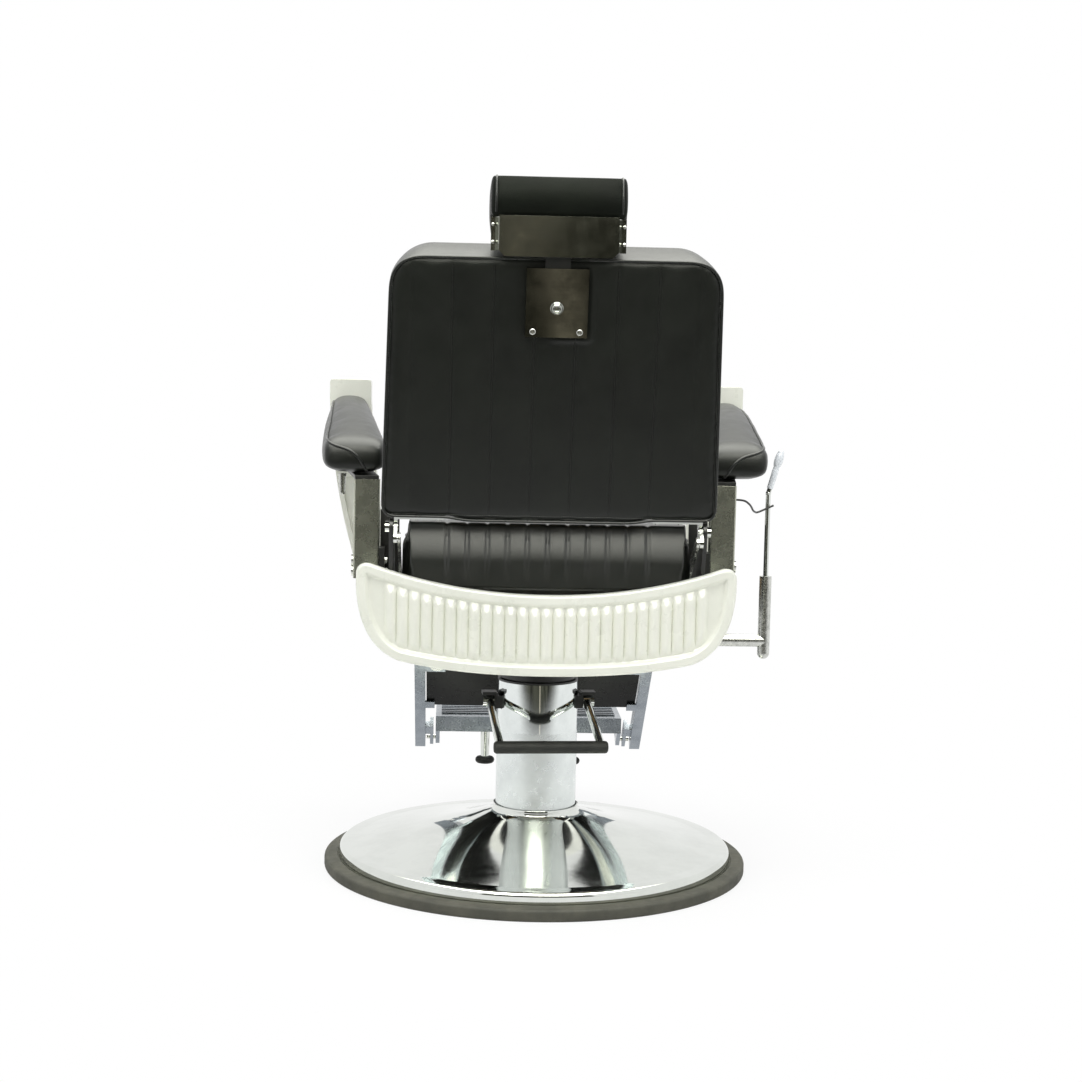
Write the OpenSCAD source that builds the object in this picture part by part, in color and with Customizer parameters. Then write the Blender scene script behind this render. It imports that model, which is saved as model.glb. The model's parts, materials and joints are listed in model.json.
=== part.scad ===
// Hydraulic barber chair: pump base, swivelling seat, reclining back and linked footrest.
// Millimetres. Origin on the floor under the column; +Z up, -Y the sitter's front,
// +X the sitter's left.

/* [Base] */
// Radius of the rubber edge ring
ring_r = 335; // [310:1:350]
// Height of the rubber edge ring
ring_h = 19; // [16:1:26]
// Width of the ring's top, outside the dish
ring_ledge = 24; // [12:1:30]
// Height of the dish's rolled rim
rim_h = 37; // [32:1:50]
// Height of the dish's hub collar
hub_h = 101; // [90:1:120]
// Wall of the pressed dish
dish_wall = 2; // [1.5:0.5:4]
// Thickness of the floor plate
plate_t = 8; // [6:1:12]

/* [Pump column] */
// Radius of the polished outer sleeve
sleeve_r = 64; // [60:1:70]
// Height of the sleeve's top edge
sleeve_top = 300; // [290:1:330]
// Wall of the sleeve
sleeve_wall = 2.5; // [2:0.5:4]
// Radius of the fixed ram
ram_r = 36; // [30:1:38]
// Radius of the ram's piston and of the bore it runs in
piston_r = 40; // [38:1:44]
// Lift of the chair
lift_travel = 150; // [100:5:152]
// Radius of the swivel spigot
spigot_r = 22; // [18:1:26]

/* [Pump pedal] */
// Turn of the pump unit away from the seat's rear
pump_turn = 4.5; // [0:0.5:20]
// Half distance between the pedal's two arms
pedal_arm_x = 77; // [74:1:84]
// Distance of the pedal's pivots behind the column axis
pedal_pivot_y = 12; // [0:1:20]
// Height of the pedal's pivots
pedal_pivot_z = 267; // [262:1:270]
// Distance of the foot bar behind the column axis
pedal_bar_y = 180; // [165:1:200]
// Height of the foot bar
pedal_bar_z = 226; // [215:1:240]
// Radius of the rubber foot bar
pedal_rubber_r = 9.5; // [8.5:0.5:12]
// Radius of the pedal's round arms
pedal_rod_r = 6.5; // [5:0.5:7]
// Radius of the pedal's pivot bolts
pedal_pin_r = 6; // [4:0.5:7]

/* [Seat] */
// Width of the seat cushion
seat_w = 427; // [400:1:429]
// Distance from the column axis to the cushion's rear
seat_rear = 232; // [226:1:234]
// Distance from the column axis to the cushion's front
seat_front = 262; // [250:1:290]
// Height of the cushion's crown
seat_top = 568; // [550:1:570]
// Underside of the seat frame's rails
frame_z = 400; // [396:1:404]
// Height of the frame's rails
frame_h = 40; // [30:1:42]
// Width of the frame's rails
rail_w = 34; // [26:1:36]
// Thickness of the seat board
board_t = 12; // [9:1:15]
// Channels sewn in the seat cushion
seat_channels = 10; // [6:1:12]
// Pitch of the seat channels
seat_pitch = 29.5; // [20:0.5:32]

/* [Rear skirt] */
// Half width of the skirt
skirt_half = 280; // [260:1:290]
// Distance from the column axis to the skirt's face
skirt_y = 258; // [254:1:270]
// How far the skirt's ends are bowed forward
skirt_bow = 18; // [5:1:24]
// Thickness of the skirt at its rim
skirt_t = 12; // [10:1:16]
// Width of the raised rim
skirt_rim = 13; // [10:1:18]
// Depth of the panel inside the rim
skirt_recess = 7; // [4:0.5:8]
// Flutes on the panel
flutes = 27; // [15:1:31]
// Pitch of the flutes
flute_pitch = 17.6; // [14:0.1:18]
// Height of a flute over the panel
flute_h = 6.5; // [3:0.5:7]

/* [Arms] */
// Height of the arm pads' tops
arm_top = 741; // [700:1:760]
// Underside of the arm pads
arm_z = 629; // [600:1:640]
// Width of a pad at its rear
arm_rear_w = 102; // [85:1:104]
// Width of a pad at its front, and of the front casting
arm_front_w = 70; // [60:1:80]
// How far a pad's outer side stands outside the middle of its post, at the rear
arm_rear_offset = 71.5; // [65:0.5:80]
// How much farther out the outer side stands at the front
arm_spread = 11; // [0:1:20]
// How far a pad's top falls from its front to its rear
arm_drop = 50; // [20:1:60]
// Rear end of the pads
arm_rear_y = 150; // [145:1:155]
// Front end of the pads
arm_front_y = 262; // [240:1:280]
// Distance from the cushion's side to the middle of an arm post
post_offset = 56; // [52:0.5:60]
// Width of an arm post
post_w = 39; // [30:1:42]
// Thickness of an arm post
post_t = 22; // [14:1:26]
// Middle of an arm post, behind the column axis
post_y = 130; // [115:1:132]
// Thickness of the rail under a pad
arm_rail_t = 6; // [4:1:8]
// How far the front castings rise above the pads
casting_rise = 25; // [15:1:35]

/* [Backrest] */
// Width of the backrest at its bottom
back_w = 485; // [440:1:486]
// Width of the backrest at its top
back_top_w = 465; // [430:1:481]
// Height of the backrest along its slant
back_h = 382; // [350:1:400]
// Lean of the backrest
back_lean = 14.5; // [8:0.5:20]
// Rear bottom edge of the backrest, behind the column axis
back_y = 255; // [252:1:256]
// Rear bottom edge of the backrest, above the floor
back_z = 577; // [576:1:590]
// Thickness of the front cushion
back_cushion_t = 62; // [50:1:64]
// Thickness of the backrest's board
back_board_t = 12; // [9:1:14]
// Thickness of the upholstered rear panel
back_panel_t = 16; // [12:1:18]
// Channels sewn in the backrest
back_channels = 7; // [4:1:9]
// Pitch of the backrest channels
back_pitch = 58; // [46:0.5:60]
// Radius of the rear panel's upper corners
back_round = 40; // [30:1:60]
// Radius of the front cushion's upper corners
back_cushion_round = 60; // [40:1:80]

/* [Headrest] */
// Width of the headrest pad
head_w = 194; // [170:1:220]
// Height of the headrest pad
head_h = 92; // [74:1:96]
// Depth of the headrest pad
head_d = 68; // [60:1:76]
// Width of the headrest's polished bracket
head_plate_w = 166; // [150:1:180]
// Height of the bracket
head_plate_h = 56; // [50:1:60]
// How far the pad rolls back over the bracket
head_roll = 21; // [10:1:24]
// Width of the holder plate on the backrest
holder_w = 87; // [70:1:95]
// Height of the holder plate
holder_h = 98; // [85:1:110]
// Width of the headrest's stem
stem_w = 35; // [28:1:45]
// Thickness of the stem
stem_t = 6; // [4:1:6]

/* [Recline lever] */
// Distance of the lever behind the column axis
lever_y = 45; // [44:1:60]
// Height of the lever's shaft
lever_z = 374; // [368:1:376]
// How far the lever's upright sleeve stands outside the pads at their rear
lever_offset = 11; // [10:1:20]
// Radius of the lever's shaft
lever_shaft_r = 10; // [8:0.5:10]
// Radius of the upright sleeve
lever_sleeve_r = 9.5; // [8:0.5:11]
// Radius of the lever's rod
lever_rod_r = 4; // [3:0.5:5]
// Height of the sleeve's top
lever_sleeve_top = 476; // [440:1:500]
// Height where the handle starts
lever_handle_z = 606; // [580:1:620]

/* [Footrest] */
// How far the side bars' outer faces stand inside the cushion's sides
foot_inset = 13.5; // [10:0.5:20]
// Width of a side bar
foot_bar_w = 18; // [14:1:22]
// Depth of a side bar
foot_bar_d = 28; // [24:1:32]
// Length of a side bar from its pivot
foot_bar_l = 332; // [320:1:350]
// Lean of the footrest, away from upright
foot_lean = 48.7; // [40:0.5:55]
// Footrest pivot, in front of the column axis
foot_pivot_y = 130; // [120:1:140]
// Footrest pivot, above the floor
foot_pivot_z = 344; // [340:1:350]
// Length of the calf board
calf_l = 150; // [120:1:160]
// Depth of the footplate
plate_d = 150; // [120:1:170]

/* [Fits] */
// Radial clearance of a pin or shaft that turns in a bore
pin_fit = 0.06; // [0.03:0.01:0.1]
// Gap between pieces that are seated but not fixed face to face
seat_gap = 0.3; // [0.2:0.05:0.5]

/* [Hidden] */
$fn = 64;

// Base
plate_z = 5;
floor_pad_r = 45;
dish_r = ring_r - ring_ledge;
hub_r = sleeve_r + dish_wall + 2;
ring_groove = 15;
ring_round = 5;
rim_round = 7;
flange_r = 75;
flange_t = 12;
flange_z = plate_z + plate_t;
base_bolt_r = 6;
base_bolt_pcd = 112;
base_bolt_n = 6;

// Column
sleeve_z = hub_h - 10;
sleeve_bore = sleeve_r - sleeve_wall;
cyl_wall = 7;
cyl_r = piston_r + cyl_wall;
bush_h = 18;
bush_z = sleeve_z + 6;
piston_h = 15;
piston_z = bush_z + bush_h + lift_travel + 2;
cyl_top = sleeve_top - 14;
head_flange_t = 3;
head_top = sleeve_top + head_flange_t;
bearing_t = 6;
hub_flange_r = 60;
hub_gap = 1;
hub_boss_r = 34;
hub_plate = 150;
hub_plate_t = 8;
spigot_top = frame_z - 20;

// Pump
ear_y = 24;
ear_h = 20;
ear_x = pedal_arm_x - 7;
eye_r = 10;
eye_w = 12;
yoke_z = cyl_top - 36;
yoke_h = 34;
plunger_r = 4;
plunger_y = (cyl_r + sleeve_bore) / 2;
plunger_h = 24;
plunger_travel = 8;
pedal_core_r = pedal_rod_r - 1;

// Seat frame
frame_top = frame_z + frame_h;
post_x = seat_w / 2 + post_offset;
arm_rear_x = post_x + arm_rear_offset;
arm_front_x = arm_rear_x + arm_spread;
lever_x = arm_rear_x + lever_offset;
foot_half_w = seat_w / 2 - foot_inset;
rail_x = seat_w / 2 - 26.5;
rail_wall = 3;
frame_front = 225;
frame_rear = 205;
cross_d = 35;
board_top = frame_top + board_t;
cushion_z = board_top + seat_gap;
bracket_t = 8;
post_in = post_x - post_w / 2;
post_bottom = frame_z + 73;
post_bolt_zs = [post_bottom + 11, post_bottom + 27];

// Back, in its own frame: origin on the rear bottom edge, +Z up the slant
hinge_y = -10.5;
hinge_z = -19.2;
hinge_pin_r = 6;
ear_in = seat_w / 2 + 6.5;
ear_t = 5;
plate_gap = 1;
hinge_plate_t = 6;
hinge_plate_x = ear_in + ear_t + plate_gap;
cheek_l = 110;
back_t = back_cushion_t + back_board_t + back_panel_t;

// Pivots in the chair's frame
hinge_pt = [
    back_y + hinge_y * cos(back_lean) + hinge_z * sin(back_lean),
    back_z - hinge_y * sin(back_lean) + hinge_z * cos(back_lean)
];
foot_pt = [-foot_pivot_y, foot_pivot_z];

// Recline links: parallel cranks on the back and on the footrest
crank_back_r = 24;
crank_foot_r = 30;
recline_max = 45;
footrest_max = 36;
link_run = hinge_pt - foot_pt;
link_dir = atan2(link_run[1], link_run[0]);
crank_back_a = link_dir - 90 + recline_max / 2;
crank_foot_a = link_dir - 90 + footrest_max / 2;
crank_back_pt = hinge_pt + crank_back_r * [cos(crank_back_a), sin(crank_back_a)];
crank_foot_pt = foot_pt + crank_foot_r * [cos(crank_foot_a), sin(crank_foot_a)];
link_t = 4;
link_x = ear_in - 1 - link_t;
link_end_r = 8;
crank_pin_r = 4;
link_clear = 0.6;

// Arms
casting_d = 34;
arm_front_in = arm_front_x - arm_front_w;
arm_rail_z = arm_z - seat_gap - arm_rail_t;
post_top = arm_rail_z;
casting_face_y = arm_front_y + seat_gap;

// Headrest, in the back's frame
holder_z = 274;
holder_t = 3;
holder_depth = 12;
stem_y = 2;
stem_top = back_h + 9;
stem_l = 92;
stem_travel = 60;
knuckle_r = 5.5;
head_pin_r = 3;
head_hinge_z = stem_top;
head_hinge_y = stem_y + stem_t / 2;
head_pt = [
    back_y + head_hinge_y * cos(back_lean) + head_hinge_z * sin(back_lean),
    back_z - head_hinge_y * sin(back_lean) + head_hinge_z * cos(back_lean)
];
head_sheet = 2.5;
head_splay = 5;
head_foot = 6;
head_face_y = head_pt[0] + 12;
head_pad_y = head_pt[0] - knuckle_r - 1;
head_plate_z = head_pt[1] - 5;
head_pad_z = head_pt[1] + 11;

// ---------------------------------------------------------------- helpers

// Points on an arc from angle a0 to a1
function arc_pts(c, r, a0, a1, n) =
    [for (i = [0:n]) let (a = a0 + (a1 - a0) * i / n) c + r * [cos(a), sin(a)]];

// Points on a cubic curve with four control points
function curve_pts(p, n) =
    [for (i = [0:n]) let (t = i / n, u = 1 - t)
        u * u * u * p[0] + 3 * u * u * t * p[1] + 3 * u * t * t * p[2] + t * t * t * p[3]];

function mix(a, b, t) = a + (b - a) * t;
function clamp(v, lo, hi) = min(max(v, lo), hi);
function smooth(t) = let (c = clamp(t, 0, 1)) c * c * (3 - 2 * c);
function mirror_pts(p) = [for (i = [len(p) - 1:-1:0]) [-p[i][0], p[i][1]]];

// Rectangle with rounded corners, centred
module round_rect(w, h, r) {
    square([w - 2 * r, h], center = true);
    square([w, h - 2 * r], center = true);
    for (sx = [-1, 1], sy = [-1, 1])
        translate([sx * (w / 2 - r), sy * (h / 2 - r)]) circle(r);
}

// Flat bar outline between two round ends
module bar_outline(p, rp, q, rq) {
    d = q - p;
    l = norm(d);
    a = atan2(d[1], d[0]);
    k = acos((rp - rq) / l);
    translate(p) circle(rp);
    translate(q) circle(rq);
    polygon([
        p + rp * [cos(a + k), sin(a + k)], p + rp * [cos(a - k), sin(a - k)],
        q + rq * [cos(a - k), sin(a - k)], q + rq * [cos(a + k), sin(a + k)]
    ]);
}

// Extrudes an outline drawn in the Y-Z plane from x0, t thick
module side_plate(x0, t) {
    translate([x0, 0, 0]) rotate([90, 0, 90]) linear_extrude(t) children();
}

// Round rod between two points
module rod(p, q, r) {
    d = q - p;
    translate(p)
        rotate([0, acos(d[2] / norm(d)), atan2(d[1], d[0])])
            cylinder(h = norm(d), r = r);
}

// Pin along X
module x_pin(x0, x1, y, z, r) {
    translate([x0, y, z]) rotate([0, 90, 0]) cylinder(h = x1 - x0, r = r);
}

// Bolt head standing on z = 0, with a washer
module bolt_head(r, h) {
    cylinder(h = h * 0.3, r = r * 1.5);
    cylinder(h = h, r = r, $fn = 6);
}

module pair() {
    children();
    mirror([1, 0, 0]) children();
}

module pump_frame() {
    rotate([0, 0, pump_turn]) children();
}

module back_frame() {
    translate([0, back_y, back_z]) rotate([-back_lean, 0, 0]) children();
}

// Footrest frame: origin at the pivot, -Z down the bars, -Y towards the calves
module foot_frame() {
    translate([0, -foot_pivot_y, foot_pivot_z]) rotate([-foot_lean, 0, 0]) children();
}

// ------------------------------------------------- sewn cushion as one skin

// Rise of a channel: 0 on a seam, 1 on its crown
function channel_arch(x, n, pitch) =
    let (u = (x + n * pitch / 2) / pitch)
    (u < -0.001 || u > n + 0.001) ? 1 : pow(abs(sin(180 * u)), 0.6);

// Half width that a rounded corner takes away at distance y from the middle
function corner_inset(y, b, r) =
    let (d = abs(y) - (b - r)) d <= 0 ? 0 : r - sqrt(max(0, r * r - d * d));

// Outward direction at a point of a rounded rectangle's edge
function edge_dir(p, a, b, r) =
    let (core = [clamp(p[0], r - a, a - r), clamp(p[1], r - b, b - r)], d = p - core)
    norm(d) < 0.001 ? [0, 1] : d / norm(d);

// Closed skin. xs, ys: grid lines over half sizes a, b; r0, r1: corner radii at -y and +y;
// z0, z1: underside and edge height; crown: rise in the middle; n, pitch, deep: channels;
// taper: width at +y over width at -y; bulge: how far the sides swell; draw: how far they
// are drawn in between the corners.
module cushion_skin(xs, ys, r0, r1, z0, z1, crown, n, pitch, deep, taper, bulge, draw) {
    nx = len(xs) - 1;
    ny = len(ys) - 1;
    a = xs[nx];
    b = ys[ny];
    rings = [[0.05, 0.55], [0.16, 0.88], [0.45, 1], [0.8, 0.92], [1, 0.6]];
    loop = concat(
        [for (i = [0:nx - 1]) [i, 0]], [for (j = [0:ny - 1]) [nx, j]],
        [for (i = [nx:-1:1]) [i, ny]], [for (j = [ny:-1:1]) [0, j]]
    );
    function rad(y) = y < 0 ? r0 : r1;
    function widen(y) = mix(1, taper, (y + b) / (2 * b));
    function plan(i, j) =
        [xs[i] * (1 - corner_inset(ys[j], b, rad(ys[j])) / a) * widen(ys[j]), ys[j]];
    function height(i, j) =
        let (u = xs[i] / a, v = ys[j] / b)
        z1 + crown * (1 - pow(abs(u), 3)) * (1 - pow(abs(v), 3))
            - deep * (1 - channel_arch(xs[i], n, pitch));
    function side_pt(m, k) =
        let (
            g = loop[m],
            p = plan(g[0], g[1]),
            q = edge_dir([p[0] / widen(p[1]), p[1]], a, b, rad(p[1])),
            along = abs(q[0]) > abs(q[1]) ? p[1] / b : p[0] / a,
            notch = abs(q[1]) > 0.9 ? deep * (1 - channel_arch(xs[g[0]], n, pitch)) : 0,
            out = bulge * rings[k][1] - draw * (1 - along * along) - notch * (1 - rings[k][0])
        )
        [p[0] + q[0] * out, p[1] + q[1] * out, mix(height(g[0], g[1]), z0, rings[k][0])];
    nl = len(loop);
    base = (nx + 1) * (ny + 1);
    points = concat(
        [for (j = [0:ny], i = [0:nx]) let (p = plan(i, j)) [p[0], p[1], height(i, j)]],
        [for (k = [0:len(rings) - 1], m = [0:nl - 1]) side_pt(m, k)],
        [[0, 0, z0]]
    );
    function grid_id(i, j) = j * (nx + 1) + i;
    function ring_id(k, m) =
        let (w = m % nl) k < 0 ? grid_id(loop[w][0], loop[w][1]) : base + k * nl + w;
    faces = concat(
        [for (j = [0:ny - 1], i = [0:nx - 1], s = [0, 1])
            s == 0 ? [grid_id(i, j), grid_id(i, j + 1), grid_id(i + 1, j + 1)]
                   : [grid_id(i, j), grid_id(i + 1, j + 1), grid_id(i + 1, j)]],
        [for (k = [0:len(rings) - 1], m = [0:nl - 1], s = [0, 1])
            s == 0 ? [ring_id(k - 1, m), ring_id(k - 1, m + 1), ring_id(k, m + 1)]
                   : [ring_id(k - 1, m), ring_id(k, m + 1), ring_id(k, m)]],
        [for (m = [0:nl - 1])
            [len(points) - 1, ring_id(len(rings) - 1, m), ring_id(len(rings) - 1, m + 1)]]
    );
    polyhedron(points = points, faces = faces, convexity = 6);
}

// Grid lines over n channels with s steps each, and side panels with t steps out to half
// width a
function channel_lines(n, pitch, s, a, t) =
    let (c = n * pitch / 2)
    concat(
        [for (i = [0:t - 1]) mix(-a, -c, i / t)],
        [for (i = [0:n * s]) -c + pitch * i / s],
        [for (i = [1:t]) mix(c, a, i / t)]
    );

// Grid lines with closer steps near both ends, where the corners are round
function edge_lines(b, r, inner) =
    concat(
        [for (f = [0, 0.08, 0.3, 0.6]) -b + r * f],
        [for (i = [0:inner]) mix(r - b, b - r, i / inner)],
        [for (f = [0.6, 0.3, 0.08, 0]) b - r * f]
    );

// Skin lofted through rings of points, closed at both ends
module lofted_skin(rings) {
    n = len(rings[0]);
    m = len(rings);
    function mean(r) = [for (c = [0:2]) [for (p = r) p[c]] * [for (p = r) 1 / n]];
    points = concat([for (r = rings) each r], [mean(rings[0]), mean(rings[m - 1])]);
    faces = concat(
        [for (k = [0:m - 2], i = [0:n - 1], s = [0, 1])
            let (j = (i + 1) % n, a = k * n, b = (k + 1) * n)
            s == 0 ? [a + i, b + i, b + j] : [a + i, b + j, a + j]],
        [for (i = [0:n - 1]) [n * m, i, (i + 1) % n]],
        [for (i = [0:n - 1]) [n * m + 1, n * (m - 1) + (i + 1) % n, n * (m - 1) + i]]
    );
    polyhedron(points = points, faces = faces, convexity = 4);
}

// Rounded-box section in the X-Z plane at y
function box_ring(y, x, w, z0, z1, n, e) =
    [for (i = [0:n - 1])
        let (c = cos(360 * i / n), s = sin(360 * i / n))
        [x + w / 2 * sign(c) * pow(abs(c), 2 / e), y,
         (z0 + z1) / 2 + (z1 - z0) / 2 * sign(s) * pow(abs(s), 2 / e)]];

// ---------------------------------------------------------------- base

module base_plate() {
    color("dimgray") difference() {
        union() {
            translate([0, 0, plate_z]) cylinder(h = plate_t, r = dish_r - 0.5, $fn = 128);
            cylinder(h = plate_z + 1, r = floor_pad_r);
        }
        base_bolt_places() cylinder(h = 100, r = base_bolt_r + 0.1, center = true);
    }
}

module base_bolt_places() {
    for (i = [0:base_bolt_n - 1])
        rotate([0, 0, 360 * i / base_bolt_n]) translate([base_bolt_pcd / 2, 0, 0]) children();
}

module base_bolts() {
    color("silver") base_bolt_places() {
        translate([0, 0, plate_z + 1]) cylinder(h = plate_t + flange_t - 1, r = base_bolt_r);
        translate([0, 0, flange_z + flange_t]) bolt_head(9, 8);
    }
}

module base_ring() {
    top_in = dish_r + 0.3;
    outline = concat(
        [[dish_r - ring_groove, 0]],
        arc_pts([ring_r - ring_round, ring_round], ring_round, -90, 0, 4),
        arc_pts([ring_r - ring_round, ring_h - ring_round], ring_round, 0, 80, 4),
        [[top_in, ring_h], [top_in, flange_z], [dish_r, flange_z], [dish_r, plate_z],
         [dish_r - ring_groove, plate_z]]
    );
    color([0.3, 0.3, 0.27]) rotate_extrude($fn = 128) polygon(outline);
}

// Pressed dish: rolled rim, shallow cone and a hub collar round the column
function dish_profile() = concat(
    [[dish_r, flange_z]],
    arc_pts([dish_r - rim_round, rim_h - rim_round], rim_round, 0, 80, 5),
    curve_pts([[dish_r - 16, rim_h - 1], [210, rim_h + 12], [150, 60],
               [hub_r + 14, hub_h - 14]], 8),
    arc_pts([hub_r + 8, hub_h - 4], 8, 225, 180, 2),
    [[hub_r, hub_h]]
);

module base_cover() {
    outer = dish_profile();
    inner = [for (i = [len(outer) - 1:-1:0])
        [outer[i][0] - dish_wall,
         i == len(outer) - 1 ? hub_h : max(outer[i][1] - dish_wall, flange_z)]];
    color([0.86, 0.87, 0.87]) rotate_extrude($fn = 128) polygon(concat(outer, inner));
}

module ram() {
    color("gainsboro") difference() {
        union() {
            translate([0, 0, flange_z]) cylinder(h = flange_t, r = flange_r);
            translate([0, 0, flange_z]) cylinder(h = piston_z - flange_z, r = ram_r);
            translate([0, 0, piston_z]) cylinder(h = piston_h, r = ram_r - 12);
        }
        base_bolt_places() cylinder(h = 100, r = base_bolt_r + 0.1, center = true);
    }
}

module ram_piston() {
    color("goldenrod") translate([0, 0, piston_z]) difference() {
        cylinder(h = piston_h, r = piston_r - pin_fit);
        translate([0, 0, -1]) cylinder(h = piston_h + 2, r = ram_r - 12 + 0.02);
    }
}

// ---------------------------------------------------------------- lift

module lift_cylinder() {
    color("slategray") difference() {
        translate([0, 0, sleeve_z]) cylinder(h = cyl_top - sleeve_z, r = cyl_r);
        translate([0, 0, sleeve_z - 1]) cylinder(h = cyl_top - sleeve_z + 2, r = piston_r);
    }
}

module guide_bush() {
    color("goldenrod") translate([0, 0, bush_z]) difference() {
        cylinder(h = bush_h, r = piston_r - 0.02);
        translate([0, 0, -1]) cylinder(h = bush_h + 2, r = ram_r + pin_fit);
    }
}

module wiper_seal() {
    color([0.12, 0.12, 0.12]) translate([0, 0, sleeve_z]) difference() {
        cylinder(h = bush_z - sleeve_z, r = piston_r - 0.02);
        translate([0, 0, -1]) cylinder(h = bush_z - sleeve_z + 2, r = ram_r + pin_fit);
    }
}

module column_sleeve() {
    window_h = ear_h + 2;
    color([0.88, 0.89, 0.89]) difference() {
        translate([0, 0, sleeve_z]) cylinder(h = sleeve_top - sleeve_z, r = sleeve_r, $fn = 96);
        translate([0, 0, sleeve_z - 1])
            cylinder(h = sleeve_top - sleeve_z + 2, r = sleeve_bore, $fn = 96);
        pump_frame() translate([0, pedal_pivot_y, pedal_pivot_z])
            cube([3 * sleeve_r, ear_y + 1, window_h], center = true);
    }
}

// Clamp ring inside the sleeve, with an ear through each window for the pedal's pivots
module pump_yoke() {
    guard_t = 5;
    color([0.13, 0.13, 0.13]) pump_frame() difference() {
        union() {
            translate([0, 0, yoke_z]) cylinder(h = yoke_h, r = sleeve_bore - 0.6);
            translate([0, pedal_pivot_y, pedal_pivot_z])
                cube([2 * ear_x, ear_y, ear_h], center = true);
            for (s = [-1, 1])
                translate([s * (ear_x + eye_w / 2 + 3), pedal_pivot_y,
                           pedal_pivot_z + eye_r + 1 + guard_t / 2])
                    cube([eye_w + 10, ear_y, guard_t], center = true);
            for (s = [-1, 1])
                translate([s * (ear_x - 2), pedal_pivot_y, pedal_pivot_z + eye_r])
                    cube([4, ear_y, guard_t + 4], center = true);
        }
        translate([0, 0, yoke_z - 30]) cylinder(h = 90, r = cyl_r + 0.02);
        translate([0, plunger_y, yoke_z - 1]) cylinder(h = yoke_h + 2, r = plunger_r + pin_fit);
        translate([0, pedal_pivot_y, pedal_pivot_z]) rotate([0, 90, 0])
            cylinder(h = 3 * ear_x, r = pedal_pin_r + 0.02, center = true);
    }
}

module pump_plunger() {
    color("silver") pump_frame() translate([0, plunger_y, yoke_z + yoke_h - plunger_h])
        cylinder(h = plunger_h + 1, r = plunger_r);
}

module pump_head() {
    color([0.2, 0.2, 0.2]) {
        translate([0, 0, cyl_top]) cylinder(h = sleeve_top - cyl_top, r = sleeve_bore - 0.1);
        translate([0, 0, sleeve_top]) cylinder(h = head_flange_t, r = sleeve_r);
        translate([0, 0, head_top]) cylinder(h = spigot_top - head_top, r = spigot_r);
    }
}

module swivel_bearing() {
    color("lightsteelblue") translate([0, 0, head_top]) difference() {
        cylinder(h = bearing_t, r = 50);
        translate([0, 0, -1]) cylinder(h = bearing_t + 2, r = spigot_r + 4);
    }
}

module pedal_pins() {
    head_x = pedal_arm_x + eye_w / 2 + 0.5;
    color("silver") pump_frame() pair() {
        x_pin(ear_x - 18, head_x, pedal_pivot_y, pedal_pivot_z, pedal_pin_r);
        x_pin(head_x, head_x + 5, pedal_pivot_y, pedal_pivot_z, pedal_pin_r + 2.5);
    }
}

// ---------------------------------------------------------------- pedal

module pedal_arm_rod(r) {
    run = [0, pedal_bar_y - pedal_pivot_y, pedal_bar_z - pedal_pivot_z];
    start = [pedal_arm_x, pedal_pivot_y, pedal_pivot_z] + run * ((eye_r - 2) / norm(run));
    rod(start, [pedal_arm_x, pedal_bar_y, pedal_bar_z], r);
}

module pump_pedal() {
    color([0.75, 0.76, 0.76]) pump_frame() {
        pair() {
            difference() {
                x_pin(pedal_arm_x - eye_w / 2, pedal_arm_x + eye_w / 2,
                      pedal_pivot_y, pedal_pivot_z, eye_r);
                x_pin(pedal_arm_x - eye_w, pedal_arm_x + eye_w,
                      pedal_pivot_y, pedal_pivot_z, pedal_pin_r + pin_fit);
            }
            pedal_arm_rod(pedal_rod_r);
        }
        x_pin(-pedal_arm_x, pedal_arm_x, pedal_bar_y, pedal_bar_z, pedal_core_r);
    }
}

module pedal_rubber() {
    half = pedal_arm_x + 10;
    outline = concat(
        [[0, -half]],
        arc_pts([pedal_rubber_r - 5, 5 - half], 5, -90, 0, 4),
        arc_pts([pedal_rubber_r - 5, half - 5], 5, 0, 90, 4),
        [[0, half]]
    );
    color([0.14, 0.14, 0.13]) pump_frame() difference() {
        translate([0, pedal_bar_y, pedal_bar_z]) rotate([0, 90, 0]) rotate_extrude()
            polygon(outline);
        x_pin(-pedal_arm_x, pedal_arm_x, pedal_bar_y, pedal_bar_z, pedal_core_r);
        pair() pedal_arm_rod(pedal_rod_r);
    }
}

// ---------------------------------------------------------------- seat

module swivel_hub() {
    bottom = head_top + hub_gap;
    bearing_top = head_top + bearing_t;
    color([0.12, 0.12, 0.12]) difference() {
        union() {
            translate([0, 0, bottom]) cylinder(h = 11, r = hub_flange_r);
            translate([0, 0, bottom]) cylinder(h = frame_z - bottom - 1, r = hub_boss_r);
            translate([0, 0, frame_z - hub_plate_t / 2])
                cube([hub_plate, hub_plate, hub_plate_t], center = true);
        }
        translate([0, 0, bottom - 1]) cylinder(h = bearing_top - bottom + 1, r = 51);
        translate([0, 0, bottom - 1]) cylinder(h = spigot_top - bottom + 3, r = spigot_r + pin_fit);
    }
}

// Rectangular tube along Y
module rail_tube(x, y0, y1) {
    l = y1 - y0;
    translate([x, (y0 + y1) / 2, frame_z + frame_h / 2]) difference() {
        cube([rail_w, l, frame_h], center = true);
        cube([rail_w - 2 * rail_wall, l + 2, frame_h - 2 * rail_wall], center = true);
    }
}

// Solid cross bar along X
module cross_bar(y0, y1, half) {
    translate([-half, y0, frame_z]) cube([2 * half, y1 - y0, frame_h]);
}

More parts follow.
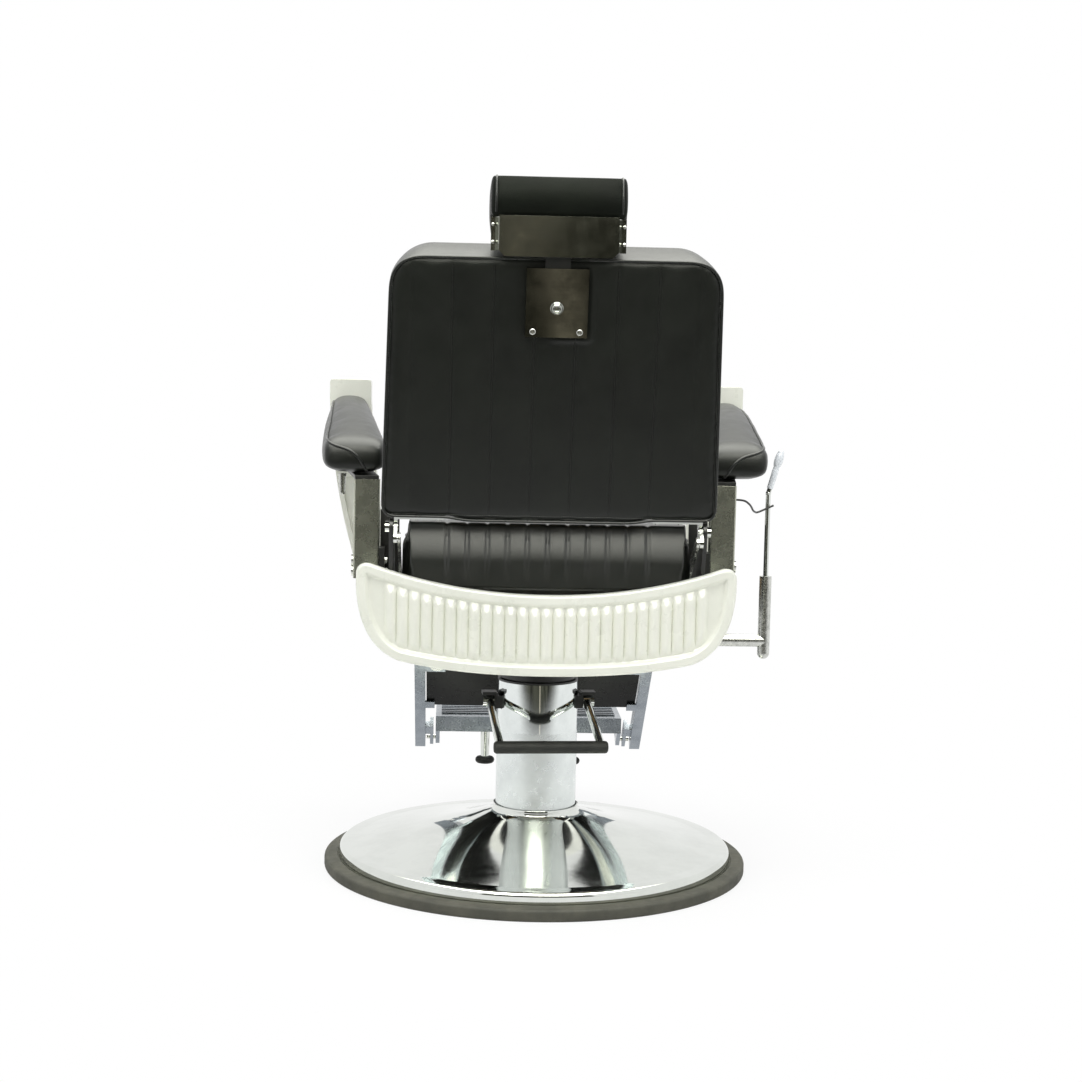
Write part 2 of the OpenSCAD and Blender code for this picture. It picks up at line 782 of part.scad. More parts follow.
module seat_frame() {
    rail_out = rail_x + rail_w / 2;
    rail_in = rail_x - rail_w / 2;
    lug_w = 12;
    lug_x = foot_half_w - foot_bar_w - 1 - lug_w;
    skirt_in = skirt_back_y(135) - 0.02;
    color([0.15, 0.15, 0.15]) difference() {
        union() {
            pair() rail_tube(rail_x, -frame_front, frame_rear);
            cross_bar(-frame_front, -frame_front + cross_d, rail_in);
            cross_bar(-hub_plate / 2, -hub_plate / 2 + cross_d, rail_in);
            cross_bar(hub_plate / 2 - cross_d, hub_plate / 2, rail_in);
            cross_bar(frame_rear - cross_d, frame_rear, rail_in);
            pair() {
                // Outriggers for the arm post, the hinge plate and the front casting
                translate([rail_out, post_y - 18, frame_z])
                    cube([post_in - bracket_t - rail_out, 36, frame_h - 4]);
                translate([post_in - bracket_t, post_y - 18, frame_z])
                    cube([bracket_t, 36, 120]);
                translate([rail_out, frame_rear - cross_d, frame_z])
                    cube([hinge_plate_x - rail_out, cross_d, frame_h]);
                translate([rail_out, -frame_front, frame_z])
                    cube([casting_in_x(frame_z + 20) - rail_out - 0.2, 30, frame_h]);
                // Lugs for the footrest's pivots
                translate([lug_x, -foot_pivot_y - 14, foot_pivot_z])
                    cube([lug_w, 28, frame_z - foot_pivot_z + 2]);
                x_pin(lug_x, lug_x + lug_w, -foot_pivot_y, foot_pivot_z, 15);
                // Brackets behind the skirt
                translate([105, frame_rear, frame_z]) cube([30, skirt_in - frame_rear, 6]);
                translate([105, skirt_in - 5, frame_z - 20]) cube([30, 5, 50]);
            }
            // Bearing block of the recline lever
            translate([1 - link_x, lever_y - 14, lever_z - 14])
                cube([link_x - 1 - rail_out + rail_w, 28, frame_z - lever_z + 14 + 2]);
        }
        x_pin(lug_x - 1, lug_x + lug_w + 1, -foot_pivot_y, foot_pivot_z, hinge_pin_r + 0.02);
        mirror([1, 0, 0])
            x_pin(lug_x - 1, lug_x + lug_w + 1, -foot_pivot_y, foot_pivot_z, hinge_pin_r + 0.02);
        x_pin(-rail_out - 30, -100, lever_y, lever_z, lever_shaft_r + pin_fit);
        pair() for (z = post_bolt_zs) x_pin(post_in - 20, post_in + 10, post_y, z, 5.02);
    }
}

module seat_board() {
    l = seat_rear + seat_front - 28;
    color("burlywood") translate([0, (seat_rear - seat_front) / 2, frame_top])
        linear_extrude(board_t) round_rect(seat_w - 20, l, 20);
}

module seat_cushion() {
    bulge = 7;
    a = seat_w / 2 - bulge;
    b = (seat_rear + seat_front) / 2 - bulge;
    color([0.14, 0.15, 0.14]) translate([0, (seat_rear - seat_front) / 2, 0])
        cushion_skin(
            xs = channel_lines(seat_channels, seat_pitch, 4, a, 3),
            ys = edge_lines(b, 22, 4), r0 = 22, r1 = 22,
            z0 = cushion_z, z1 = seat_top - 14, crown = 14,
            n = seat_channels, pitch = seat_pitch, deep = 4,
            taper = 1, bulge = bulge, draw = 1.5
        );
}

// ------------------------------------------------------------ rear skirt

skirt_top = [[0, 465.5], [105, 465.5], [190, 483], [skirt_half - 22, 506]];
skirt_corner = [[skirt_half - 22, 506], [skirt_half - 10, 509], [skirt_half, 503],
                [skirt_half, 490]];
skirt_side = [[skirt_half, 490], [skirt_half + 1, 440], [skirt_half - 12, 382],
              [skirt_half - 65, 364]];
skirt_foot = [[skirt_half - 65, 364], [160, 352], [90, 345.5], [0, 345.5]];
skirt_edge = concat(curve_pts(skirt_top, 14), curve_pts(skirt_corner, 4),
                    curve_pts(skirt_side, 12), curve_pts(skirt_foot, 12));
skirt_bow_r = (skirt_half * skirt_half + skirt_bow * skirt_bow) / (2 * skirt_bow);

// Face of the skirt's bow at a distance from the middle
function bow_y(x) = skirt_y - skirt_bow_r + sqrt(skirt_bow_r * skirt_bow_r - x * x);
function skirt_back_y(x) = bow_y(x) - skirt_t;

// Height of a curve at x, by a straight step between its points
function curve_at(pts, x, i = 0) =
    i >= len(pts) - 2 || (pts[i][0] - x) * (pts[i + 1][0] - x) <= 0
        ? mix(pts[i][1], pts[i + 1][1],
              clamp((x - pts[i][0]) / (pts[i + 1][0] - pts[i][0] + 0.0001), 0, 1))
        : curve_at(pts, x, i + 1);

skirt_upper = concat(curve_pts(skirt_top, 14), curve_pts(skirt_corner, 8));
skirt_lower = [for (p = concat(curve_pts(skirt_side, 16), curve_pts(skirt_foot, 14))) p];

// Distance of a point from the skirt's outline
function edge_dist(p) =
    min([for (i = [0:len(skirt_edge) - 2])
        let (a = skirt_edge[i], d = skirt_edge[i + 1] - a,
             t = clamp((p - a) * d / (d * d), 0, 1)) norm(p - a - t * d)]);

// Depth of the face behind the bow: rounded rim, bevel, panel and tapering flutes
function skirt_relief(x, z) =
    let (
        d = edge_dist([abs(x), z]),
        low = d > skirt_rim ? 1 : 0,
        rim = d < 5 ? -5 + sqrt(max(0, 25 - (5 - d) * (5 - d))) : 0,
        bevel = -skirt_recess * smooth((d - skirt_rim) / 7),
        u = (x + flutes * flute_pitch / 2) / flute_pitch,
        on = u > 0 && u < flutes ? 1 : 0,
        arch = pow(abs(sin(180 * u)), 0.7),
        rise = flute_h * smooth((d - skirt_rim - 3) / 17)
    )
    rim + low * (bevel + on * arch * rise);

module rear_skirt() {
    steps = 4;
    side = skirt_half - 0.5;
    c = flutes * flute_pitch / 2;
    xs = concat(
        [for (f = [0, 0.04, 0.12, 0.25, 0.45, 0.7]) mix(-side, -c, f)],
        [for (i = [0:flutes * steps]) -c + i * flute_pitch / steps],
        [for (f = [0.7, 0.45, 0.25, 0.12, 0.04, 0]) mix(side, c, f)]
    );
    rows = [0, 0.03, 0.075, 0.13, 0.19, 0.26, 0.36, 0.5, 0.64, 0.74, 0.81, 0.87, 0.925, 0.97, 1];
    nx = len(xs);
    nr = len(rows);
    function z_at(i, k) =
        mix(curve_at(skirt_lower, abs(xs[i])), curve_at(skirt_upper, abs(xs[i])), rows[k]);
    front = [for (k = [0:nr - 1], i = [0:nx - 1])
        let (z = z_at(i, k)) [xs[i], bow_y(xs[i]) + skirt_relief(xs[i], z), z]];
    back = [for (k = [0, nr - 1], i = [0:nx - 1]) [xs[i], skirt_back_y(xs[i]), z_at(i, k)]];
    nf = nx * nr;
    faces = concat(
        [for (k = [0:nr - 2], i = [0:nx - 2], s = [0, 1])
            let (a = k * nx + i)
            s == 0 ? [a, a + 1, a + nx + 1] : [a, a + nx + 1, a + nx]],
        [for (i = [0:nx - 2], s = [0, 1])
            s == 0 ? [nf + i, nf + nx + i + 1, nf + i + 1] : [nf + i, nf + nx + i, nf + nx + i + 1]],
        [for (i = [0:nx - 2], s = [0, 1])
            s == 0 ? [nf + i, nf + i + 1, i + 1] : [nf + i, i + 1, i]],
        [for (i = [0:nx - 2], s = [0, 1])
            let (a = nf - nx + i, b = nf + nx + i)
            s == 0 ? [a, a + 1, b + 1] : [a, b + 1, b]],
        [concat([for (k = [0:nr - 1]) k * nx], [nf + nx, nf])],
        [concat([for (k = [nr - 1:-1:0]) k * nx + nx - 1], [nf + nx - 1, nf + 2 * nx - 1])]
    );
    color([0.92, 0.93, 0.89])
        polyhedron(points = concat(front, back), faces = faces, convexity = 8);
}

// ---------------------------------------------------------------- arms

module arm_post() {
    color([0.4, 0.41, 0.37]) translate([post_x, post_y, post_bottom]) difference() {
        linear_extrude(post_top - post_bottom) round_rect(post_w, post_t, 3);
        for (z = post_bolt_zs) translate([0, 0, z - post_bottom]) rotate([0, 90, 0])
            cylinder(h = 2 * post_w, r = 5.02, center = true);
    }
}

module arm_post_left() { arm_post(); }
module arm_post_right() { mirror([1, 0, 0]) arm_post(); }

module arm_rails() {
    half = 18;
    front_x = arm_front_in + arm_front_w / 2;
    color([0.5, 0.5, 0.48]) pair() translate([0, 0, arm_rail_z]) linear_extrude(arm_rail_t)
        polygon([
            [post_x - half, post_y + post_t / 2], [post_x + half, post_y + post_t / 2],
            [front_x + half, -arm_front_y], [front_x - half, -arm_front_y]
        ]);
}

// Arm pad: a rounded section that narrows to the front and rolls down at the rear
module arm_pad() {
    n = 28;
    roll = 46;
    body = [for (t = [0, 0.02, 0.2, 0.38, 0.54, 0.68, 0.8, 0.9, 1]) [t, 0]];
    ends = [for (a = [18, 36, 52, 66, 77, 84]) [1, a]];
    rings = [for (s = concat(body, ends))
        let (
            k = sin(s[1]),
            y = mix(-arm_front_y, arm_rear_y - roll, s[0]) + roll * k,
            shrink = 1 - 0.5 * (1 - cos(s[1])),
            edge = s[0] == 0 ? 4 : 0,
            w = mix(arm_front_w, arm_rear_w, pow(s[0], 1.6)),
            out = mix(arm_front_x, arm_rear_x, s[0]),
            top = arm_top - (s[0] == 0 ? 2 : 0) - arm_drop * s[0] * s[0]
        )
        box_ring(y, out - w / 2, (w - 2 * edge) * mix(1, 0.78, 1 - cos(s[1])),
                 arm_z + edge + 10 * (1 - cos(s[1])),
                 top - edge - (top - arm_z) * 0.42 * (1 - cos(s[1])), n, 3.6)];
    color([0.14, 0.15, 0.14]) lofted_skin(rings);
}

module arm_pad_left() { arm_pad(); }
module arm_pad_right() { mirror([1, 0, 0]) arm_pad(); }

casting_top = arm_top + casting_rise;
casting_outer = curve_pts([[arm_front_x - 62, frame_z - 4], [arm_front_x - 44, 470],
                           [arm_front_x - 6, 560], [arm_front_x, arm_top - 8]], 10);
casting_inner = curve_pts([[arm_front_x - 106, frame_z - 4], [arm_front_x - 102, 480],
                           [arm_front_in - 8, 580], [arm_front_in, arm_top - 8]], 10);

// Inner side of a casting at height z
function casting_in_x(z) = curve_at([for (p = casting_inner) [p[1], p[0]]], z);

// White front casting: bowed shell with a raised border and a rounded cap
module arm_front() {
    outline = concat(
        casting_outer,
        arc_pts([arm_front_x - 6, casting_top - 6], 6, 0, 90, 4),
        arc_pts([arm_front_in + 6, casting_top - 6], 6, 90, 180, 4),
        [for (i = [len(casting_inner) - 1:-1:0]) casting_inner[i]]
    );
    nose = curve_pts([[casting_face_y + 22, frame_z - 4], [casting_face_y + 30, 500],
                      [casting_face_y + 48, 640], [casting_face_y + casting_d, casting_top]], 10);
    side = concat(nose, [[casting_face_y, casting_top], [casting_face_y, frame_z - 4]]);
    rim = 9;
    color([0.93, 0.94, 0.9]) difference() {
        intersection() {
            translate([0, -casting_face_y + 1, 0]) rotate([90, 0, 0]) linear_extrude(80)
                polygon(outline);
            translate([arm_front_in - 80, 0, 0]) rotate([90, 0, 90])
                linear_extrude(arm_front_w + 90)
                polygon([for (p = side) [-p[0], p[1]]]);
        }
        // Sunk panel on the side that faces the seat's rear
        translate([0, -casting_face_y + 6, 0]) rotate([90, 0, 0]) linear_extrude(12)
            polygon(concat(
                [for (p = casting_outer) if (p[1] > 450 && p[1] < arm_rail_z - rim)
                    p - [rim, 0]],
                [for (i = [len(casting_inner) - 1:-1:0]) let (p = casting_inner[i])
                    if (p[1] > 450 && p[1] < arm_rail_z - rim) p + [rim, 0]]
            ));
    }
}

module arm_front_left() { arm_front(); }
module arm_front_right() { mirror([1, 0, 0]) arm_front(); }

module arm_bolts() {
    head_h = 3;
    color("silver") pair() for (z = post_bolt_zs) {
        x_pin(post_in - bracket_t - 4, post_x + post_w / 2, post_y, z, 5);
        x_pin(post_x + post_w / 2, post_x + post_w / 2 + head_h, post_y, z, 8);
    }
}

module arm_peg() {
    r = 5.5;
    l = 34;
    color([0.15, 0.15, 0.15]) translate([arm_rear_x - 32, post_y - 30, arm_z - seat_gap])
        rotate([180, 0, 0]) {
            cylinder(h = l - r, r1 = r + 0.5, r2 = r - 1);
            translate([0, 0, l - r]) sphere(r - 1);
        }
}

// ------------------------------------------------------------ back hinge

module hinge_plates() {
    p = hinge_pt;
    foot = [frame_rear - 17, frame_z + 20];
    front = [frame_rear - cheek_l, frame_top + 12];
    color([0.7, 0.71, 0.7]) pair() difference() {
        side_plate(hinge_plate_x, hinge_plate_t) {
            bar_outline(foot, 17, p, 13);
            bar_outline(front, 9, p, 13);
            polygon([front - [0, 9], [foot[0] + 5, front[1] - 9], p]);
        }
        x_pin(hinge_plate_x - 1, hinge_plate_x + 20, p[0], p[1], hinge_pin_r + 0.02);
    }
}

module hinge_pins() {
    p = hinge_pt;
    out = hinge_plate_x + hinge_plate_t;
    color("silver") pair() {
        x_pin(ear_in - 0.5, out, p[0], p[1], hinge_pin_r);
        x_pin(out, out + 6, p[0], p[1], 8);
    }
}

module hinge_bars() {
    x0 = 152;
    c = crank_back_pt;
    p = hinge_pt;
    color([0.86, 0.87, 0.87]) pair() difference() {
        union() {
            back_frame() translate([x0, -38, -5 - seat_gap]) cube([ear_in + ear_t - x0, 34, 5]);
            back_frame() translate([ear_in, -26, hinge_z]) cube([ear_t, 20, -hinge_z - 5]);
            side_plate(ear_in, ear_t) bar_outline(p, 12, c, link_end_r);
            x_pin(link_x, ear_in, c[0], c[1], crank_pin_r);
        }
        x_pin(ear_in - 1, ear_in + ear_t + 1, p[0], p[1], hinge_pin_r + pin_fit);
        back_frame() for (x = [160, 194]) translate([x, -18, -20]) cylinder(h = 30, r = 3.02);
    }
}

module hinge_bolts() {
    color("silver") back_frame() pair() for (x = [160, 194]) translate([x, -18, 0]) {
        translate([0, 0, -5 - seat_gap]) cylinder(h = 5, r = 3);
        translate([0, 0, -5 - seat_gap]) rotate([180, 0, 0]) bolt_head(5, 5);
    }
}

module recline_links() {
    c = crank_back_pt;
    f = crank_foot_pt;
    color([0.55, 0.56, 0.55]) pair() difference() {
        side_plate(link_x, link_t) bar_outline(c, link_end_r, f, link_end_r);
        x_pin(link_x - 1, link_x + link_t + 1, c[0], c[1], crank_pin_r + pin_fit);
        x_pin(link_x - 1, link_x + link_t + 1, f[0], f[1], crank_pin_r + link_clear);
    }
}

// ---------------------------------------------------------------- back

module back_board() {
    z0 = 6;
    color("burlywood") back_frame() translate([0, -back_panel_t, 0]) rotate([90, 0, 0])
        linear_extrude(back_board_t) translate([0, back_h / 2])
            round_rect(back_top_w - 24, back_h - 2 * z0, back_cushion_round - 12);
}

// Upholstered block lying on its face: +Y of the skin is up the back
module back_skin(depth, crown, round, deep, bulge, inner) {
    a = back_w / 2 - bulge;
    b = back_h / 2 - bulge;
    cushion_skin(
        xs = channel_lines(back_channels, back_pitch, 4, a, 1),
        ys = edge_lines(b, round - bulge, inner),
        r0 = 8, r1 = round - bulge,
        z0 = 0, z1 = depth - crown, crown = crown,
        n = back_channels, pitch = back_pitch, deep = deep,
        taper = (back_top_w / 2 - bulge) / a, bulge = bulge, draw = 1
    );
}

module back_cushion() {
    y = -back_panel_t - back_board_t - seat_gap;
    color([0.14, 0.15, 0.14]) back_frame() translate([0, y, back_h / 2]) rotate([90, 0, 0])
        back_skin(back_cushion_t, 16, back_cushion_round, 5, 6, 5);
}

module back_panel() {
    y = -back_panel_t + seat_gap;
    color([0.14, 0.15, 0.14]) back_frame() translate([0, y, back_h / 2]) rotate([90, 0, 180])
        back_skin(back_panel_t - seat_gap, 2, back_round, 1.2, 3, 3);
}

// ---------------------------------------------------------------- headrest

// Pocket plate: a shallow channel that the stem slides in
module headrest_holder() {
    lip = 4;
    color([0.55, 0.56, 0.52]) back_frame() translate([0, 0.2, holder_z]) difference() {
        translate([-holder_w / 2, 0, 0]) cube([holder_w, holder_depth, holder_h]);
        translate([-holder_w / 2 + lip, -1, -1])
            cube([holder_w - 2 * lip, holder_depth - holder_t + 1, holder_h + 2]);
        holder_screw_places() translate([0, -5, 0]) rotate([-90, 0, 0]) cylinder(h = 30, r = 2.52);
        translate([0, -5, 42]) rotate([-90, 0, 0]) cylinder(h = 30, r = 4.02);
    }
}

module holder_screw_places() {
    for (x = [-33, 33]) translate([x, 0, 8]) children();
}

module holder_knob() {
    color("gainsboro") back_frame() translate([0, 0.2, holder_z + 42]) {
        translate([0, stem_y + stem_t + 0.3, 0]) rotate([-90, 0, 0])
            cylinder(h = holder_depth - stem_y - stem_t, r = 4);
        translate([0, holder_depth, 0]) rotate([-90, 0, 0]) intersection() {
            cylinder(h = 5, r = 9);
            translate([0, 0, -8]) sphere(13);
        }
    }
}

module holder_screws() {
    color("gainsboro") back_frame() translate([0, 0.2, holder_z]) holder_screw_places() {
        rotate([-90, 0, 0]) cylinder(h = holder_depth, r = 2.5);
        translate([0, holder_depth, 0]) rotate([-90, 0, 0]) cylinder(h = 2, r = 4.5);
    }
}

module headrest_stem() {
    z0 = stem_top - stem_l;
    color([0.12, 0.12, 0.12]) back_frame() difference() {
        union() {
            translate([-stem_w / 2, stem_y, z0]) cube([stem_w, stem_t, stem_l]);
            x_pin(-stem_w / 2, stem_w / 2, head_hinge_y, head_hinge_z, knuckle_r);
        }
        x_pin(-stem_w, stem_w, head_hinge_y, head_hinge_z, head_pin_r + pin_fit);
    }
}

// Polished tray: rear face, splayed side flanges with feet, bottom lip and hinge cheeks
module headrest_bracket() {
    face_y = head_face_y;
    z0 = head_plate_z;
    chamfer = 8;
    half = head_plate_w / 2;
    foot_h = head_plate_h - chamfer - 2;
    cheek_x = stem_w / 2 + 0.4;
    cheek_t = 4;
    lip_x = stem_w / 2 + 3;
    color([0.6, 0.61, 0.57]) {
        translate([0, face_y, z0]) rotate([90, 0, 0]) linear_extrude(head_sheet) polygon([
            [-half + chamfer, 0], [half - chamfer, 0], [half, chamfer],
            [half, head_plate_h], [-half, head_plate_h], [-half, chamfer]
        ]);
        pair() difference() {
            translate([0, 0, z0 + chamfer]) linear_extrude(foot_h) polygon([
                [half - head_sheet, face_y - 0.5], [half, face_y],
                [half + head_splay, head_pad_y + head_sheet],
                [half + head_splay + head_foot, head_pad_y + head_sheet],
                [half + head_splay + head_foot, head_pad_y], [half + head_splay - 2, head_pad_y]
            ]);
            head_screw_places() x_turn_hole();
        }
        pair() translate([lip_x, face_y - 8, z0]) cube([half - chamfer - lip_x, 8, head_sheet]);
        pair() difference() {
            translate([cheek_x, head_pt[0] - 5, head_pt[1] - 5])
                cube([cheek_t, face_y - 1 - head_pt[0] + 5, 10]);
            x_pin(cheek_x - 1, cheek_x + 9, head_pt[0], head_pt[1], head_pin_r - 0.2);
        }
        x_pin(-cheek_x - cheek_t, cheek_x + cheek_t, head_pt[0], head_pt[1], head_pin_r);
    }
}

// Places of the screws in the bracket's feet, heads towards +Y
module head_screw_places() {
    for (dz = [20, head_plate_h - 12])
        translate([head_plate_w / 2 + head_splay + 3.2, head_pad_y, head_plate_z + dz])
            children();
}

module x_turn_hole() {
    rotate([90, 0, 0]) cylinder(h = 2 * head_sheet + 1, r = 1.52, center = true);
}

// Pad: a section that rolls back over the bracket, narrower below, rounded at its ends
module headrest_pad() {
    y0 = head_pad_y - seat_gap;
    front = y0 - head_d;
    z0 = head_pad_z;
    top = z0 + head_h;
    over = head_plate_z + head_plate_h + 0.8;
    mid = [y0 - head_d / 2, z0 + head_h / 2];
    section = concat(
        curve_pts([[y0, over], [y0 + head_roll * 0.8, over + 1],
                   [y0 + head_roll + 2, over + 12], [y0 + head_roll - 2, over + 26]], 6),
        curve_pts([[y0 + head_roll - 4, over + 31], [y0 + head_roll - 9, top - 3],
                   [y0 - 4, top], [y0 - 22, top]], 5),
        curve_pts([[y0 - 32, top], [front + 8, top], [front, top - 14], [front, mid[1]]], 6),
        curve_pts([[front, mid[1] - 10], [front, z0 + 8], [front + 8, z0], [y0 - 30, z0]], 6),
        curve_pts([[y0 - 18, z0], [y0 - 5, z0], [y0, z0 + 3], [y0, z0 + 9]], 4)
    );
    ends = [[1, 0.72], [0.99, 0.82], [0.965, 0.91], [0.92, 0.97], [0.82, 1]];
    function narrow(z) = 1 - 0.03 * smooth((over - z) / (over - z0))
        - 0.1 * pow(clamp(1 - (z - z0) / 14, 0, 1), 2);
    function ring(f, k) = [for (p = section)
        let (q = mid + (p - mid) * k) [head_w / 2 * f * narrow(q[1]), q[0], q[1]]];
    color([0.14, 0.15, 0.14]) lofted_skin(concat(
        [for (e = ends) ring(e[0], e[1])], [ring(0, 1)],
        [for (i = [len(ends) - 1:-1:0]) ring(-ends[i][0], ends[i][1])]
    ));
}

module headrest_screws() {
    color("gainsboro") pair() head_screw_places() {
        translate([0, head_sheet, 0]) rotate([90, 0, 0]) cylinder(h = head_sheet, r = 1.5);
        translate([0, head_sheet, 0]) rotate([-90, 0, 0]) cylinder(h = 1.5, r = 2.5);
    }
}

// ---------------------------------------------------------------- lever

module recline_lever() {
    rail_in = rail_x - rail_w / 2;
    bottom = lever_z - 29;
    color([0.62, 0.63, 0.6]) difference() {
        union() {
            x_pin(-lever_x, -rail_in - 6, lever_y, lever_z, lever_shaft_r);
            translate([-lever_x, lever_y, bottom + lever_sleeve_r])
                cylinder(h = lever_sleeve_top - bottom - lever_sleeve_r, r = lever_sleeve_r);
            translate([-lever_x, lever_y, bottom + lever_sleeve_r]) sphere(lever_sleeve_r);
        }
        translate([-lever_x, lever_y, lever_sleeve_top - 60]) cylinder(h = 70, r = lever_rod_r + 0.02);
    }
}

module lever_rod() {
    lean_x = 14;
    color([0.5, 0.5, 0.48]) {
        translate([-lever_x, lever_y, lever_sleeve_top - 60])
            cylinder(h = lever_handle_z - lever_sleeve_top + 60, r = lever_rod_r);
        translate([-lever_x, lever_y, lever_handle_z]) sphere(lever_rod_r + 0.4);
        rod([-lever_x, lever_y, lever_handle_z], [-lever_x - lean_x, lever_y, lever_handle_z + 50],
            lever_rod_r - 0.2);
    }
}

module lever_knob() {
    lean_x = 14;
    l = norm([lean_x, 50]);
    r = 6;
    color([0.93, 0.93, 0.9])
        translate([-lever_x, lever_y, lever_handle_z]) rotate([0, -atan2(lean_x, 50), 0])
            translate([0, 0, l - 8]) difference() {
                rotate_extrude() polygon(concat(
                    [[0, 0]],
                    curve_pts([[lever_rod_r + 1, 0], [r + 1, 8], [r + 1, 14], [r - 1, 22]], 5),
                    arc_pts([0, 22], r - 1, 0, 90, 4)
                ));
                translate([0, 0, -1]) cylinder(h = 9, r = lever_rod_r + 0.02);
            }
}

// Bent wire from the arm post that holds the lever's rod upright
module lever_hook() {
    r = 1.6;
    z0 = 600;
    y0 = post_y - post_t / 2;
    rod_back = lever_y + lever_rod_r + r + seat_gap;
    path = [
        [-post_x - post_w / 2 + 12, y0 - r, z0], [-post_x - post_w / 2 - 22, y0 - 12, z0],
        [-post_x - post_w / 2 - 33, y0 - 24, z0 - 12], [-post_x - post_w / 2 - 40, rod_back + 8, z0 - 22],
        [-lever_x + 12, rod_back, z0 - 20], [-lever_x - 8, rod_back, z0 - 12]
    ];
    color([0.12, 0.12, 0.12]) {
        for (i = [0:len(path) - 2]) rod(path[i], path[i + 1], r);
        for (i = [1:len(path) - 1]) translate(path[i]) sphere(r + 0.15);
    }
}

// ---------------------------------------------------------------- footrest

module footrest_bar() {
    y0 = -foot_bar_d / 2;
    crank_x = foot_half_w;
    f = crank_foot_pt;
    brace = 14;
    color([0.66, 0.68, 0.7]) difference() {
        union() {
            foot_frame() {
                translate([foot_half_w - foot_bar_w, y0, -foot_bar_l])
                    cube([foot_bar_w, foot_bar_d, foot_bar_l]);
                x_pin(foot_half_w - foot_bar_w, foot_half_w, 0, 0, foot_bar_d / 2 + 2);
                // Ledges that carry the calf board
                translate([foot_half_w - foot_bar_w - 34, foot_bar_d / 2 - 4, -82])
                    cube([34, 4, 34]);
                translate([foot_half_w - foot_bar_w - 16, foot_bar_d / 2 - 4, -calf_l - 50])
                    cube([16, 4, 20]);
                // Short inner bar beside the footplate
                translate([foot_half_w - foot_bar_w - brace, y0 + 4, -foot_bar_l + 2])
                    cube([6, foot_bar_d - 8, 60]);
                translate([foot_half_w - foot_bar_w - brace + 6, y0 + 8, -foot_bar_l + 30])
                    cube([brace - 6, foot_bar_d - 16, 24]);
            }
            side_plate(crank_x - 3, ear_t + 3) bar_outline(foot_pt, 12, f, link_end_r);
            x_pin(crank_x + 1, link_x + link_t + 0.5, f[0], f[1], crank_pin_r);
        }
        x_pin(foot_half_w - foot_bar_w - 1, foot_half_w + ear_t + 1, foot_pt[0], foot_pt[1],
              hinge_pin_r + pin_fit);
        foot_frame() translate([foot_half_w - foot_bar_w - 20, 0, -65]) rotate([90, 0, 0])
            cylinder(h = 80, r = 4.02, center = true);
        foot_frame() x_pin(foot_half_w - foot_bar_w - brace - 2, foot_half_w - foot_bar_w + 10,
                           footplate_hinge[0], footplate_hinge[1], 4.02);
    }
}

footplate_hinge = [0, -foot_bar_l + 12];

module footrest_bar_left() { footrest_bar(); }
module footrest_bar_right() { mirror([1, 0, 0]) footrest_bar(); }

module footrest_pins() {
    out = foot_half_w + ear_t;
    color("silver") pair() {
        x_pin(foot_half_w - foot_bar_w - 14, out + 0.5, foot_pt[0], foot_pt[1], hinge_pin_r);
        x_pin(out + 0.5, out + 4.5, foot_pt[0], foot_pt[1], 9);
    }
}

module footrest_bolts() {
    color([0.9, 0.9, 0.87]) foot_frame() pair()
        translate([foot_half_w - foot_bar_w - 20, foot_bar_d / 2, -65]) {
            rotate([90, 0, 0]) cylinder(h = 11.5, r = 4);
            rotate([-90, 0, 0]) cylinder(h = 2, r = 11);
            rotate([-90, 0, 0]) cylinder(h = 6, r = 4.5);
        }
    color("silver") pair()
        x_pin(foot_half_w - foot_bar_w - 25, foot_half_w - foot_bar_w - 2,
              footplate_pt[0], footplate_pt[1], 4);
}

module calf_board() {
    w = 2 * (foot_half_w - foot_bar_w) - 4;
    y1 = foot_bar_d / 2 - 4;
    color([0.13, 0.14, 0.13]) foot_frame() difference() {
        translate([0, y1, -45 - calf_l / 2]) rotate([90, 0, 0]) linear_extrude(8)
            round_rect(w, calf_l, 6);
        pair() translate([foot_half_w - foot_bar_w - 20, 0, -65]) rotate([90, 0, 0])
            cylinder(h = 80, r = 4.02, center = true);
    }
}

module calf_pad() {
    w = 2 * (foot_half_w - foot_bar_w) - 8;
    y1 = foot_bar_d / 2 - 12 - seat_gap;
    bulge = 5;
    color([0.14, 0.15, 0.14]) foot_frame() translate([0, y1, -45 - calf_l / 2])
        rotate([90, 0, 0])
            cushion_skin(
                xs = [for (f = [-1, -0.93, -0.6, -0.3, 0, 0.3, 0.6, 0.93, 1]) f * (w / 2 - bulge)],
                ys = edge_lines(calf_l / 2 - bulge, 12, 2), r0 = 12, r1 = 12,
                z0 = 0, z1 = 30, crown = 10, n = 1, pitch = w, deep = 0,
                taper = 1, bulge = bulge, draw = 1
            );
}

// Footplate: cast tread with a rear rib, end gussets and grip ribs; drawn level
footplate_pt = [
    -foot_pivot_y - sin(foot_lean) * -footplate_hinge[1],
    foot_pivot_z + cos(foot_lean) * footplate_hinge[1]
];

footplate_rear = footplate_pt[0] + 30.4;
footplate_z = footplate_pt[1] + 42.2;
tread_t = 6;
rear_rib_t = 8;
footpost_r = 9;
footpost_x = 76;
footpost_y = footplate_rear - rear_rib_t - footpost_r - seat_gap;
footpost_z = footplate_z - 74;
footpost_tip_h = 12;

